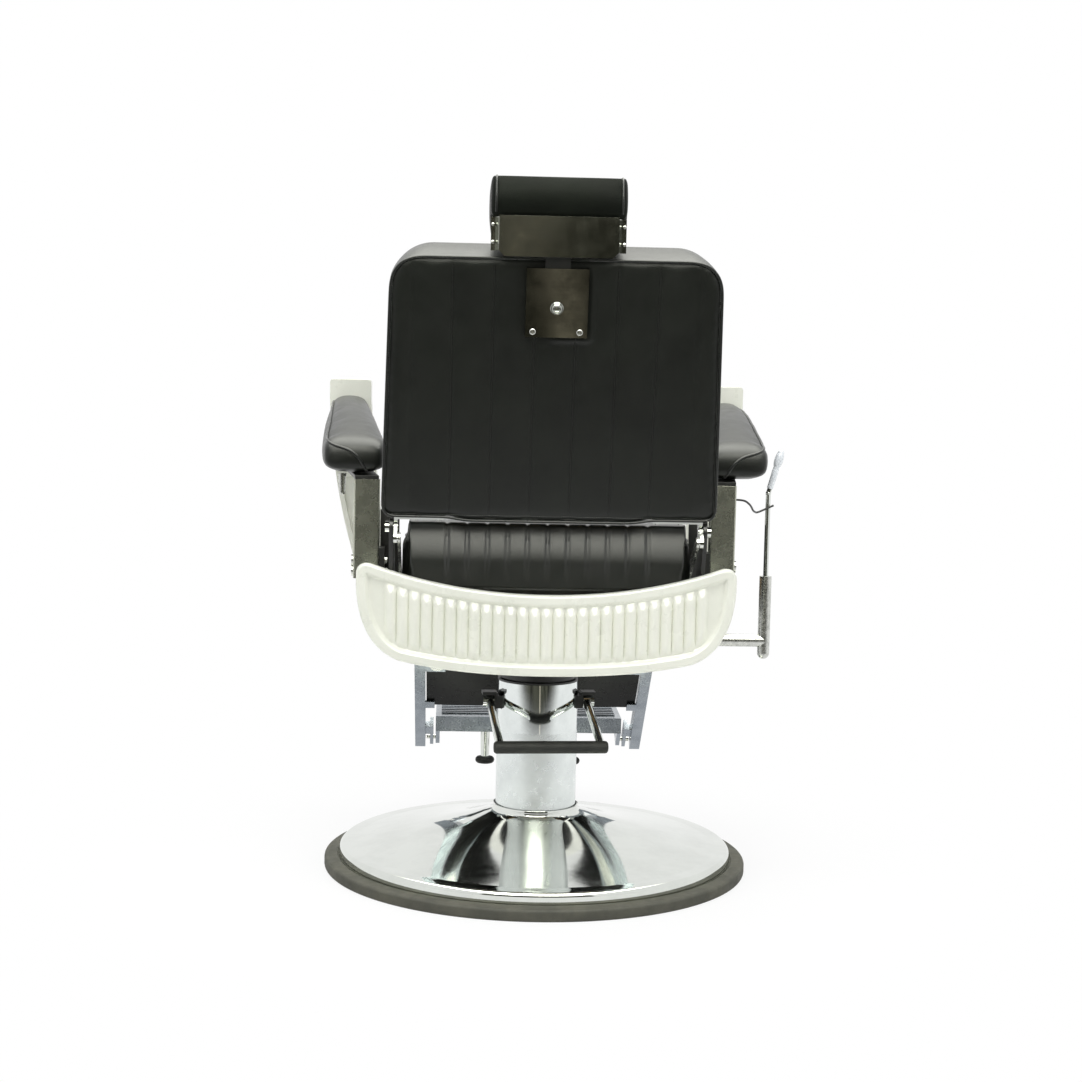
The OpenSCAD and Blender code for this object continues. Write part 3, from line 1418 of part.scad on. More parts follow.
module footplate() {
    half = foot_half_w - foot_bar_w - 18;
    rear = footplate_rear;
    z1 = footplate_z;
    rib_h = 27;
    color([0.68, 0.7, 0.72]) difference() {
        union() {
            translate([-half, rear - rear_rib_t, z1 - rib_h]) cube([2 * half, rear_rib_t, rib_h]);
            translate([-half, rear - plate_d, z1 - tread_t]) cube([2 * half, plate_d, tread_t]);
            translate([-half, rear - plate_d, z1 - 14]) cube([2 * half, 6, 14]);
            for (i = [1:7])
                translate([-half + 10, rear - 14 - i * (plate_d - 20) / 8, z1])
                    cube([2 * half - 20, 5, 2.5]);
            pair() side_plate(half - 7, 7) polygon([
                [rear, z1], [rear - plate_d, z1], [rear - plate_d, z1 - 14],
                [footplate_pt[0] - 14, footplate_pt[1] - 4],
                [footplate_pt[0], footplate_pt[1] - 12],
                [footplate_pt[0] + 12, footplate_pt[1]], [rear, z1 - rib_h]
            ]);
        }
        x_pin(-2 * half, 2 * half, footplate_pt[0], footplate_pt[1], 4 + pin_fit);
    }
}

module footplate_posts() {
    color([0.85, 0.86, 0.86]) pair()
        translate([footpost_x, footpost_y, footpost_z])
            cylinder(h = footplate_z - tread_t - footpost_z, r1 = footpost_r - 1.5, r2 = footpost_r);
}

module post_tips() {
    r = footpost_tip_h / 2;
    color([0.1, 0.1, 0.1]) pair()
        translate([footpost_x, footpost_y, footpost_z - footpost_tip_h]) rotate_extrude()
            polygon(concat([[0, 0]], arc_pts([11, r], r, -90, 90, 6), [[0, footpost_tip_h]]));
}

base_plate();
base_cover();
base_ring();
base_bolts();
ram();
ram_piston();
lift_cylinder();
guide_bush();
wiper_seal();
column_sleeve();
pump_yoke();
pump_head();
swivel_bearing();
pedal_pins();
pump_plunger();
pump_pedal();
pedal_rubber();
swivel_hub();
seat_frame();
seat_board();
seat_cushion();
rear_skirt();
arm_post_left();
arm_post_right();
arm_rails();
arm_pad_left();
arm_pad_right();
arm_front_left();
arm_front_right();
arm_bolts();
hinge_plates();
hinge_pins();
footrest_pins();
lever_hook();
arm_peg();
back_board();
back_cushion();
back_panel();
hinge_bars();
hinge_bolts();
headrest_holder();
holder_knob();
holder_screws();
headrest_stem();
headrest_bracket();
headrest_pad();
headrest_screws();
recline_links();
recline_lever();
lever_rod();
lever_knob();
footrest_bar_left();
footrest_bar_right();
footrest_bolts();
calf_board();
calf_pad();
footplate();
footplate_posts();
post_tips();
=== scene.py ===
"""Hydraulic barber chair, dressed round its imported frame.

The frame gives every rigid shape in metres: origin on the floor under the column, +Z up,
-Y the sitter's front and +X the sitter's left. This script adds the upholstery, the pressed
and turned pieces that need a smoother skin, the finishes, the studio and the camera.
"""

from __future__ import annotations

import json
import logging
import math
from dataclasses import dataclass, field, replace
from enum import Enum
from typing import Any, Callable, Iterable, Sequence

import bpy
import numpy as np
from mathutils import Matrix, Vector
from mathutils.bvhtree import BVHTree

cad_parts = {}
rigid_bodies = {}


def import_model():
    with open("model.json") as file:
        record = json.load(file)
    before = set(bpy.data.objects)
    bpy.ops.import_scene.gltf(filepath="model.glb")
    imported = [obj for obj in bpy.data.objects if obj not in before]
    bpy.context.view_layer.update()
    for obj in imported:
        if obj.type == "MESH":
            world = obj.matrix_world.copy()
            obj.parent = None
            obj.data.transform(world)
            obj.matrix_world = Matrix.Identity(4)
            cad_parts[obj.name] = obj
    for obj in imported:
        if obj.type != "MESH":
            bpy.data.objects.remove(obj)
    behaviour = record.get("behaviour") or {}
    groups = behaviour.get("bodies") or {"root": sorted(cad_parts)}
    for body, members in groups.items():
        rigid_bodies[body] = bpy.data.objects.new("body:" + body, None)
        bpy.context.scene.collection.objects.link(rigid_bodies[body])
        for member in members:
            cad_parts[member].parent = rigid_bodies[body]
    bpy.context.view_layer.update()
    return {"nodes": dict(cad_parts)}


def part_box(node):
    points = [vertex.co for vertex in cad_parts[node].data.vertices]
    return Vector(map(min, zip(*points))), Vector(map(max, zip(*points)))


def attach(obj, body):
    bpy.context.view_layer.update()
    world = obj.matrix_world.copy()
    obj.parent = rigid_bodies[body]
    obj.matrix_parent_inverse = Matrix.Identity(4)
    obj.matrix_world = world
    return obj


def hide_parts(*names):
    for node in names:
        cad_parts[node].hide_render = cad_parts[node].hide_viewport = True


log = logging.getLogger("barber_chair")

MM = 0.001
CLOTH_FRAMES = 20
CLOTH_RATE = 24
RIGHT_LEFT = ((-1, "right"), (1, "left"))
SMOOTH = {"interpolation_type": "SMOOTHSTEP"}
COLOURS = {"data_type": "RGBA"}
Piece = bpy.types.Object
Mesh = bpy.types.Mesh
Tree = bpy.types.NodeTree
Point = tuple[float, float, float]
Flat = tuple[float, float]
Hits = Sequence[tuple[Vector, Vector]]


# ---------------------------------------------------------------- small tools


def to_linear(code: str) -> tuple[float, float, float, float]:
    """Turns an sRGB hex colour into linear RGBA.

    Args:
        code: Six hex digits after a hash.

    Returns:
        Linear red, green, blue and an alpha of 1.
    """
    channels = [int(code[i : i + 2], 16) / 255 for i in (1, 3, 5)]
    lin = [c / 12.92 if c <= 0.04045 else ((c + 0.055) / 1.055) ** 2.4 for c in channels]
    return (lin[0], lin[1], lin[2], 1.0)


def add(tree: Tree, kind: str, props: dict[str, Any] | None = None,
        **inputs: Any) -> bpy.types.Node:
    """Adds a node with its settings, values and links.

    Args:
        tree: Node tree that gets the node.
        kind: The node's type name, without its prefix.
        props: Settings of the node itself.
        **inputs: One value, socket or node for each input. A node stands for its first
            output, underscores stand for spaces, and i0, i1 and so on name an input by
            its index.

    Returns:
        The new node.
    """
    node = tree.nodes.new("ShaderNode" + kind)
    for key, value in (props or {}).items():
        setattr(node, key, value)
    for key, value in inputs.items():
        by_index = key[0] == "i" and key[1:].isdigit()
        socket = node.inputs[int(key[1:])] if by_index else node.inputs[key.replace("_", " ")]
        if isinstance(value, bpy.types.Node):
            value = value.outputs[0]
        if isinstance(value, bpy.types.NodeSocket):
            tree.links.new(value, socket)
        else:
            socket.default_value = value
    return node


def deselect() -> None:
    """Leaves edit mode and deselects every object."""
    if bpy.context.object and bpy.context.object.mode != "OBJECT":
        bpy.ops.object.mode_set(mode="OBJECT")
    for other in bpy.context.view_layer.objects:
        other.select_set(False)


def activate(piece: Piece) -> None:
    """Makes one object the only selected and the active one."""
    deselect()
    piece.select_set(True)
    bpy.context.view_layer.objects.active = piece


def link(name: str, data: Any) -> Piece:
    """Puts data in the scene as an active object of that name."""
    data.name = name
    piece = bpy.data.objects.new(name, data)
    bpy.context.scene.collection.objects.link(piece)
    activate(piece)
    return piece


def read(items: Any, key: str) -> np.ndarray:
    """Reads three numbers from each item of a mesh, as an array of shape (n, 3)."""
    out = np.empty(len(items) * 3, np.float32)
    items.foreach_get(key, out)
    return out.reshape(-1, 3).astype(float)


def coords(mesh: Mesh) -> np.ndarray:
    """Reads a mesh's points."""
    return read(mesh.vertices, "co")


def normals(mesh: Mesh) -> np.ndarray:
    """Reads a mesh's point normals."""
    return read(mesh.vertex_normals, "vector")


def place(mesh: Mesh, points: np.ndarray) -> None:
    """Writes an array of points back into a mesh."""
    mesh.vertices.foreach_set("co", points.astype(np.float32).ravel())
    mesh.update()


def apply(piece: Piece, kind: str, **settings: Any) -> None:
    """Adds a modifier with its settings and applies it.

    Args:
        piece: Object that gets the modifier.
        kind: The modifier's type name.
        **settings: Settings of the modifier.
    """
    activate(piece)
    modifier = piece.modifiers.new(kind.title(), kind)
    for key, value in settings.items():
        setattr(modifier, key, value)
    bpy.ops.object.modifier_apply(modifier=modifier.name)


def edit(piece: Piece, *steps: Callable[[], Any]) -> None:
    """Runs edit mode steps on all of a piece's mesh.

    Args:
        piece: Object to edit.
        *steps: Calls to make with everything selected.
    """
    activate(piece)
    bpy.ops.object.mode_set(mode="EDIT")
    for step in steps:
        bpy.ops.mesh.select_all(action="SELECT")
        step()
    bpy.ops.object.mode_set(mode="OBJECT")


def merge(distance: float = 0.01 * MM) -> Callable[[], Any]:
    """Gives the edit step that merges points closer than a distance."""
    return lambda: bpy.ops.mesh.remove_doubles(threshold=distance)


def outward() -> Any:
    """Edit step that turns all faces outwards."""
    return bpy.ops.mesh.normals_make_consistent(inside=False)


def smooth(piece: Piece, angle: float = 35.0) -> None:
    """Shades a piece smooth except over edges sharper than an angle in degrees."""
    activate(piece)
    bpy.ops.object.shade_smooth_by_angle(angle=math.radians(angle))


def ease(t: np.ndarray | float) -> Any:
    """Gives a smooth step from 0 to 1."""
    c = np.clip(t, 0.0, 1.0)
    return c * c * (3.0 - 2.0 * c)


def bezier(p: Sequence[Sequence[float]], steps: int) -> list[Flat]:
    """Gives points on a cubic curve with four control points."""
    t = np.linspace(0, 1, steps + 1)[:, None]
    u = 1 - t
    q = [np.array(c, float) for c in p]
    out = u**3 * q[0] + 3 * u * u * t * q[1] + 3 * u * t * t * q[2] + t**3 * q[3]
    return [tuple(r) for r in out]


def arc(centre: Flat, r: float, a0: float, a1: float, steps: int) -> list[Flat]:
    """Gives points on an arc between two angles in degrees."""
    angles = np.radians(np.linspace(a0, a1, steps + 1))
    return [(centre[0] + r * math.cos(a), centre[1] + r * math.sin(a)) for a in angles]


def turned(name: str, profile: Sequence[Flat], centre: Point = (0, 0, 0),
           axis: Point = (0, 0, 1), steps: int = 96) -> Piece:
    """Spins a profile round an axis.

    Args:
        name: Name of the piece.
        profile: Points of (radius, height) in millimetres, from end to end of the section.
        centre: Point on the axis where height is zero, in millimetres.
        axis: Direction of the axis.
        steps: Segments round the axis.

    Returns:
        The closed piece, with its faces outwards.
    """
    along = Vector(axis).normalized()
    turn = Vector((0, 0, 1)).rotation_difference(along).to_matrix()
    origin = Vector(centre) * MM
    points = [tuple(turn @ Vector((r * MM, 0, h * MM)) + origin) for r, h in profile]
    mesh = bpy.data.meshes.new(name)
    mesh.from_pydata(points, [(i, i + 1) for i in range(len(points) - 1)], [])
    piece = link(name, mesh)
    edit(piece, lambda: bpy.ops.mesh.spin(steps=steps, angle=2 * math.pi,
                                          center=tuple(origin), axis=tuple(along)),
         merge(), outward)
    smooth(piece)
    return piece


def tube(name: str, points: Sequence[Sequence[float]], radius: float, closed: bool,
         sides: int = 3) -> Piece:
    """Sweeps a round section along points.

    Args:
        name: Name of the piece.
        points: The path in metres.
        radius: Radius of the section in metres.
        closed: True for a loop.
        sides: Bevel resolution of the section.

    Returns:
        A mesh piece.
    """
    curve = bpy.data.curves.new(name, "CURVE")
    curve.dimensions = "3D"
    curve.bevel_depth = radius
    curve.bevel_resolution = sides
    curve.use_fill_caps = not closed
    spline = curve.splines.new("POLY")
    spline.points.add(len(points) - 1)
    for target, p in zip(spline.points, points):
        target.co = (*p, 1.0)
    spline.use_cyclic_u = closed
    link(name, curve)
    bpy.ops.object.convert(target="MESH")
    piece = bpy.context.object
    edit(piece, merge(), outward)
    smooth(piece, 60)
    return piece


def joined(name: str, parts: Sequence[Piece]) -> Piece:
    """Joins pieces into one object of that name."""
    activate(parts[0])
    for part in parts[1:]:
        part.select_set(True)
    if len(parts) > 1:
        bpy.ops.object.join()
    whole = bpy.context.object
    whole.name = whole.data.name = name
    return whole


def sheet(name: str, columns: int, rows: int) -> tuple[Piece, np.ndarray, np.ndarray]:
    """Makes a flat grid mesh to be shaped.

    Args:
        name: Name of the piece.
        columns: Points in each row.
        rows: Number of rows.

    Returns:
        The piece, and the column and the row of each of its points.
    """
    deselect()
    bpy.ops.mesh.primitive_grid_add(x_subdivisions=columns - 1, y_subdivisions=rows - 1,
                                    size=2)
    piece = bpy.context.object
    piece.name = name
    grid = (coords(piece.data) + 1) / 2
    return (piece, np.rint(grid[:, 0] * (columns - 1)).astype(int),
            np.rint(grid[:, 1] * (rows - 1)).astype(int))


def tree_of(piece: Piece) -> BVHTree:
    """Gives a search tree over a piece's faces."""
    mesh = piece.data
    return BVHTree.FromPolygons([v.co for v in mesh.vertices],
                                [tuple(p.vertices) for p in mesh.polygons])


def even(points: Sequence[Vector], step: float, closed: bool = False) -> list[Vector]:
    """Places points along a path at an even step.

    Args:
        points: The path's points.
        step: Wanted distance between points in metres.
        closed: True for a loop.

    Returns:
        Points that divide the path evenly.
    """
    path = np.array([tuple(p) for p in points] + ([tuple(points[0])] if closed else []))
    run = np.concatenate([[0], np.cumsum(np.linalg.norm(np.diff(path, axis=0), axis=1))])
    count = max(2, round(run[-1] / step))
    at = np.linspace(0, run[-1], count + 1)
    if closed:
        at = at[:-1]
    return [Vector([float(np.interp(s, run, path[:, k])) for k in range(3)]) for s in at]


def relaxed(points: Sequence[Vector], rounds: int, closed: bool) -> list[Vector]:
    """Smooths a path by moving each point towards its neighbours' middle."""
    path = np.array([tuple(p) for p in points])
    for _ in range(rounds):
        middle = (np.roll(path, 1, 0) + np.roll(path, -1, 0)) / 2
        if not closed:
            middle[0], middle[-1] = path[0], path[-1]
        path = path * 0.5 + middle * 0.5
    return [Vector(p) for p in path]


def cast(tree: BVHTree, rays: Iterable[tuple[Vector, Vector]]) -> Hits:
    """Finds where rays, pairs of a start and a direction, meet a surface.

    Args:
        tree: Search tree of the surface.
        rays: The rays.

    Returns:
        A pair of point and outward normal for each ray that meets it.
    """
    hits = []
    for start, direction in rays:
        spot, normal, _, _ = tree.ray_cast(start, direction.normalized())
        if spot is not None:
            hits.append((spot, normal if normal.dot(direction) < 0 else -normal))
    return hits


# ---------------------------------------------------------------- finishes


class Grain(Enum):
    """The fine relief that a way of making leaves, with the detail of its noise."""

    PEBBLED = ("embossed leather cells", 2.0)
    PEEL = ("sprayed or dipped, with a slight orange peel", 1.0)
    CAST = ("sand or die cast, then painted", 6.0)
    BRUSHED = ("belt brushed in one direction", 3.0)
    POLISHED = ("buffed, with faint swirls", 4.0)
    PLIES = ("peeled veneers glued crosswise", 3.0)


@dataclass(frozen=True)
class Finish:
    """One real finish, from its colours, gloss and the relief of its making."""

    name: str
    slot: str
    colour: str
    shade: str
    roughness: float
    swing: float
    grain: Grain
    grain_mm: float
    relief_mm: float
    patch_mm: float = 60.0
    metallic: float = 0.0
    specular: float = 0.5
    coat: float = 0.0
    coat_roughness: float = 0.1
    sheen: float = 0.0
    run: Point = (1.0, 1.0, 1.0)

    def height(self, tree: Tree, spot: bpy.types.NodeSocket) -> bpy.types.Node:
        """Builds the nodes for the grain's height.

        Args:
            tree: The material's node tree.
            spot: Object coordinates.

        Returns:
            The node that gives the height, from 0 to 1.
        """
        scale, detail = 1.0 / (self.grain_mm * MM), self.grain.value[1]
        if self.grain is Grain.PEBBLED:
            warp = add(tree, "TexNoise", Vector=spot, Scale=scale * 0.5, Detail=detail)
            bent = add(tree, "Mix", {"data_type": "VECTOR"}, i0=0.0015, i4=spot,
                       i5=warp.outputs["Color"])
            cell = add(tree, "TexVoronoi", {"feature": "DISTANCE_TO_EDGE"},
                       Vector=bent.outputs[1], Scale=scale)
            return add(tree, "MapRange", SMOOTH, Value=cell.outputs["Distance"],
                       From_Max=0.28)
        stretched = add(tree, "Mapping", {"vector_type": "POINT"}, Vector=spot,
                        Scale=self.run)
        return add(tree, "TexNoise", Vector=stretched, Scale=scale, Detail=detail,
                   Roughness=0.55)

    def tint(self, tree: Tree, spot: bpy.types.NodeSocket, height: bpy.types.Node) -> Any:
        """Builds the nodes for the colour: slow patches plus a little of the grain.

        Args:
            tree: The material's node tree.
            spot: Object coordinates.
            height: The grain's height.

        Returns:
            The colour's output socket.
        """
        patch = add(tree, "TexNoise", Vector=spot, Scale=1.0 / (self.patch_mm * MM),
                    Detail=4.0, Roughness=0.6)
        spread = add(tree, "MapRange", Value=patch, From_Min=0.35, From_Max=0.72)
        both = add(tree, "Math", {"operation": "MULTIPLY_ADD"}, i0=height, i1=-0.3, i2=spread)
        return add(tree, "Mix", COLOURS, i0=both, i6=to_linear(self.colour),
                   i7=to_linear(self.shade)).outputs[2]

    def gloss(self, tree: Tree, spot: bpy.types.NodeSocket) -> Any:
        """Builds the nodes for the roughness, which handling makes uneven.

        Args:
            tree: The material's node tree.
            spot: Object coordinates.

        Returns:
            The roughness output socket.
        """
        rub = add(tree, "TexNoise", Vector=spot, Scale=2.6 / (self.patch_mm * MM),
                  Detail=5.0, Roughness=0.65)
        return add(tree, "MapRange", Value=rub, From_Min=0.3, From_Max=0.7,
                   To_Min=self.roughness - self.swing,
                   To_Max=self.roughness + self.swing).outputs[0]

    def material(self) -> bpy.types.Material:
        """Gives the finish's material, built on the first call."""
        known = bpy.data.materials.get(self.name)
        if known:
            return known
        made = bpy.data.materials.new(self.name)
        made.use_nodes = True
        made.diffuse_color = to_linear(self.colour)
        tree = made.node_tree
        sockets = tree.nodes["Principled BSDF"].inputs
        spot = add(tree, "TexCoord").outputs["Object"]
        height = self.height(tree, spot)
        bump = add(tree, "Bump", Strength=1.0, Distance=self.relief_mm * MM, Height=height)
        tree.links.new(self.tint(tree, spot, height), sockets["Base Color"])
        tree.links.new(self.gloss(tree, spot), sockets["Roughness"])
        tree.links.new(bump.outputs["Normal"], sockets["Normal"])
        sockets["Metallic"].default_value = self.metallic
        sockets["Specular IOR Level"].default_value = self.specular
        sockets["Coat Weight"].default_value = self.coat
        sockets["Coat Roughness"].default_value = self.coat_roughness
        sockets["Sheen Weight"].default_value = self.sheen
        return made


@dataclass(frozen=True)
class SleeveFinish(Finish):
    """Plated sleeve: a bright head, and satin below where the guards once rubbed it."""

    satin_below: float = 0.222
    satin_roughness: float = 0.3

    def gloss(self, tree: Tree, spot: bpy.types.NodeSocket) -> Any:
        """Builds the roughness: the plain plating's above, satin with streaks below."""
        bright = super().gloss(tree, spot)
        z = add(tree, "SeparateXYZ", Vector=spot).outputs["Z"]
        satin = add(tree, "MapRange", Value=z, From_Min=self.satin_below - 0.002,
                    From_Max=self.satin_below + 0.002, To_Min=1.0, To_Max=0.0)
        cloud = add(tree, "TexNoise", Vector=spot, Scale=45.0, Detail=6.0, Roughness=0.7)
        rough = add(tree, "MapRange", Value=cloud, From_Min=0.35, From_Max=0.65,
                    To_Min=self.satin_roughness - 0.07, To_Max=self.satin_roughness + 0.1)
        return add(tree, "Mix", {"data_type": "FLOAT"}, i0=satin, i2=bright,
                   i3=rough).outputs[0]


@dataclass(frozen=True)
class PlyFinish(Finish):
    """Birch plywood: pale faces with long grain, and dark glue lines at the edges."""

    ply_mm: float = 2.4

    def tint(self, tree: Tree, spot: bpy.types.NodeSocket, height: bpy.types.Node) -> Any:
        """Builds the colour: long grain streaks, banded by the plies across the board."""
        plain = super().tint(tree, spot, height)
        bands = add(tree, "TexWave", {"wave_type": "BANDS", "bands_direction": "Z"},
                    Vector=spot, Scale=0.31 / (self.ply_mm * MM), Distortion=0.4)
        glue = add(tree, "MapRange", Value=bands.outputs["Fac"], From_Min=0.0,
                   From_Max=0.25, To_Min=0.75, To_Max=0.0)
        return add(tree, "Mix", COLOURS, i0=glue, i6=plain,
                   i7=to_linear("#6F5334")).outputs[2]


# Calendered PVC on knit backing. Its embossed pebbles are half a millimetre across; they
# are drawn at 1.6 mm, so that the eye still finds a leather grain. Low specular keeps it
# black face on, while its top coat turns grey at a glancing angle.
VINYL = Finish("Vinyl_black_pebbled", "black_vinyl", "#171A15", "#121411", 0.38, 0.05,
               Grain.PEBBLED, 1.6, 0.05, 90.0, specular=0.3, coat=0.14, coat_roughness=0.25)
# The seat's cover is worn smooth by use, the headrest's is matt.
SEAT_VINYL = replace(VINYL, name="Vinyl_black_seat", specular=0.55, coat=0.35)
PAD_VINYL = replace(VINYL, name="Vinyl_black_headrest", specular=0.05, coat=0.0)
# The welt cord's cover is the same vinyl pulled tight, so its grain is flatter and it shines.
WELT = Finish("Vinyl_black_welt", "black_vinyl", "#20221F", "#171916", 0.3, 0.05,
              Grain.PEBBLED, 1.2, 0.02, 40.0, specular=0.35, coat=0.12, coat_roughness=0.25)
# Bonded polyester thread: waxy, dark grey, a little lighter than the vinyl.
THREAD = Finish("Thread_polyester_grey", "black_vinyl", "#3C3F3A", "#2A2C29", 0.55, 0.05,
                Grain.PEEL, 0.6, 0.02, 8.0, sheen=0.2)
# Powder coat on die cast aluminium: warm white, soft gloss, a slight orange peel.
ENAMEL = Finish("Enamel_warm_white", "white_enamel", "#E6E7DB", "#DADCCF", 0.3, 0.05,
                Grain.PEEL, 3.5, 0.02, 120.0, coat=0.4, coat_roughness=0.12)
# Decorative chrome over buffed steel: a mirror with faint cloth marks.
CHROME = Finish("Chrome_buffed", "chrome", "#DCDFDA", "#D0D3CE", 0.06, 0.025,
                Grain.POLISHED, 9.0, 0.012, 70.0, metallic=1.0)
# The same plating on the column's sleeve, worn to satin below its head.
SLEEVE = SleeveFinish("Chrome_sleeve", "chrome", "#E6EBE9", "#D6DBDA", 0.06, 0.02,
                      Grain.POLISHED, 8.0, 0.012, 50.0, metallic=1.0)
# Polished stainless sheet: warmer and darker than chrome, with drawn lines. The holder's
# plate and the bracket are the same sheet, each coloured darker by its own amount: painted
# shade.
PLATE_PAINTED_SHADE = Finish("Stainless_plate_painted_shade", "steel", "#7C7D74", "#5A5B52", 0.12, 0.04,
               Grain.BRUSHED, 2.2, 0.008, 60.0, metallic=1.0, run=(0.03, 1.0, 1.0))
# Painted shade: the bracket's copy of the sheet, darkened less than the plate's.
BRACKET_PAINTED_SHADE = replace(PLATE_PAINTED_SHADE, name="Stainless_bracket_painted_shade", colour="#94968C", shade="#787A71")
# The arm posts' tube is less polished, so it shows the room more softly.
TUBE = Finish("Stainless_satin_tube", "steel", "#B9BBAD", "#A8AA9C", 0.27, 0.04,
              Grain.BRUSHED, 2.0, 0.004, 60.0, metallic=0.9, run=(1.0, 1.0, 0.04))
# Zinc plated fasteners: pale grey with cloudy patches.
ZINC = Finish("Steel_zinc_plated", "steel", "#D2D3CE", "#A9ABA6", 0.28, 0.08,
              Grain.POLISHED, 2.0, 0.02, 8.0, metallic=1.0)
# Ground and oiled steel inside the pump.
GROUND = Finish("Steel_ground", "steel", "#B4B6B6", "#999C9C", 0.22, 0.06,
                Grain.BRUSHED, 1.2, 0.01, 40.0, metallic=1.0, run=(1.0, 1.0, 0.06))
# Extruded and brushed aluminium of the footrest: blue-grey, lines along the bars.
ALUMINIUM = Finish("Aluminium_brushed", "aluminium", "#979DA3", "#787F86", 0.26, 0.07,
                   Grain.BRUSHED, 0.9, 0.02, 55.0, metallic=1.0, run=(1.0, 0.12, 0.12))
# Black stove enamel on the welded frame: satin, with the rough skin of its primer.
PAINT = Finish("Paint_black_satin", "black_paint", "#191A18", "#232421", 0.42, 0.08,
               Grain.CAST, 1.8, 0.04, 50.0, coat=0.15, coat_roughness=0.3)
# The calf board's rear is lacquered black, deep and glossy.
LACQUER = Finish("Board_black_lacquer", "black_paint", "#070807", "#0C0D0C", 0.3, 0.06,
                 Grain.PEEL, 3.0, 0.02, 40.0, specular=0.1)
# Natural rubber compound with soot: dull, olive-grey with the dust of the floor.
RUBBER = Finish("Rubber_edge_olive", "rubber", "#45453D", "#59584D", 0.72, 0.1,
                Grain.CAST, 2.4, 0.06, 45.0, specular=0.35)
# The pedal's and feet's rubber is cleaner and blacker.
TREAD = Finish("Rubber_black", "rubber", "#222320", "#2C2D29", 0.62, 0.1,
               Grain.CAST, 1.6, 0.05, 30.0, specular=0.35)
# Oil-filled bronze of the bush and the piston ring.
BRONZE = Finish("Bronze_sintered", "bronze", "#9C7B45", "#7F6236", 0.38, 0.08,
                Grain.CAST, 1.0, 0.03, 20.0, metallic=1.0)
PLYWOOD = PlyFinish("Plywood_birch", "plywood", "#D3B488", "#BC9A6C", 0.6, 0.08,
                    Grain.PLIES, 2.2, 0.06, 70.0, run=(1.0, 0.05, 0.05))
# Moulded urea knob: ivory with a cool cast and a soft gloss.
IVORY = Finish("Knob_urea_ivory", "ivory_plastic", "#E3E7EA", "#D4D9DE", 0.25, 0.05,
               Grain.PEEL, 4.0, 0.02, 20.0, coat=0.4, coat_roughness=0.1)


def give(piece: Piece, finish: Finish, body: str, node: str = "") -> Piece:
    """Finishes a piece and hands it to its body.

    Args:
        piece: The piece, which may have its material already.
        finish: Its finish.
        body: The body that carries it.
        node: The node that it stands for, if any.

    Returns:
        The piece.
    """
    if not piece.data.materials:
        piece.data.materials.append(finish.material())
    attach(piece, body)
    if node:
        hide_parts(node)
    log.info("%s: %d faces", piece.name, len(piece.data.polygons))
    return piece


# ---------------------------------------------------------------- shared frames


@dataclass(frozen=True)
class Lean:
    """A leaning frame with its origin in millimetres, and +z up its slant."""

    y: float
    z: float
    degrees: float

    def turn(self) -> Flat:
        """Gives the cosine and the sine of the lean."""
        return math.cos(math.radians(self.degrees)), math.sin(math.radians(self.degrees))

    def at(self, x: float, y: float, z: float) -> Vector:
        """Turns a point of this frame, in millimetres, into the chair's frame in metres."""
        c, s = self.turn()
        return Vector((x, self.y + y * c + z * s, self.z - y * s + z * c)) * MM

    def along(self, x: float, y: float, z: float) -> Vector:
        """Turns a direction of this frame into the chair's frame."""
        return (self.at(x, y, z) - self.at(0, 0, 0)).normalized()

    def local(self, points: np.ndarray) -> np.ndarray:
        """Turns points in metres into this frame's millimetres."""
        c, s = self.turn()
        p = points / MM
        y, z = p[:, 1] - self.y, p[:, 2] - self.z
        return np.stack([p[:, 0], y * c - z * s, y * s + z * c], 1)

    def world(self, own: np.ndarray) -> np.ndarray:
        """Turns points in this frame's millimetres into the chair's millimetres."""
        c, s = self.turn()
        y, z = own[:, 1], own[:, 2]
        return np.stack([own[:, 0], self.y + y * c + z * s, self.z - y * s + z * c], 1)


# The backrest's frame starts on its rear bottom edge, the footrest's at its pivot.
BACK = Lean(255.0, 577.0, 14.5)
FOOT = Lean(-130.0, 344.0, 48.7)


def rounded_outline(half: float, half_top: float, low: float, high: float, r_low: float,
                    r_high: float, step: float) -> Hits:
    """Walks round an upright outline with round corners and leaning sides.

    Args:
        half: Half width at the bottom.
        half_top: Half width at the top.
        low: Height of the bottom.
        high: Height of the top.
        r_low: Radius of the bottom corners.
        r_high: Radius of the top corners.
        step: Distance between points.

    Returns:
        Pairs of a flat point and its outward direction.
    """
    corners = [(half - r_low, low + r_low, r_low, -90), (half_top - r_high, high - r_high,
               r_high, 0), (r_high - half_top, high - r_high, r_high, 90),
               (r_low - half, low + r_low, r_low, 180)]
    path: list[Vector] = []
    for x, z, r, start in corners:
        path += [Vector((px, pz, 0)) for px, pz in arc((x, z), r, start, start + 90, 8)]
    walked = even(path, step, closed=True)
    out = []
    for i, p in enumerate(walked):
        d = walked[(i + 1) % len(walked)] - walked[i - 1]
        out.append((p, Vector((d.y, -d.x, 0)).normalized()))
    return out


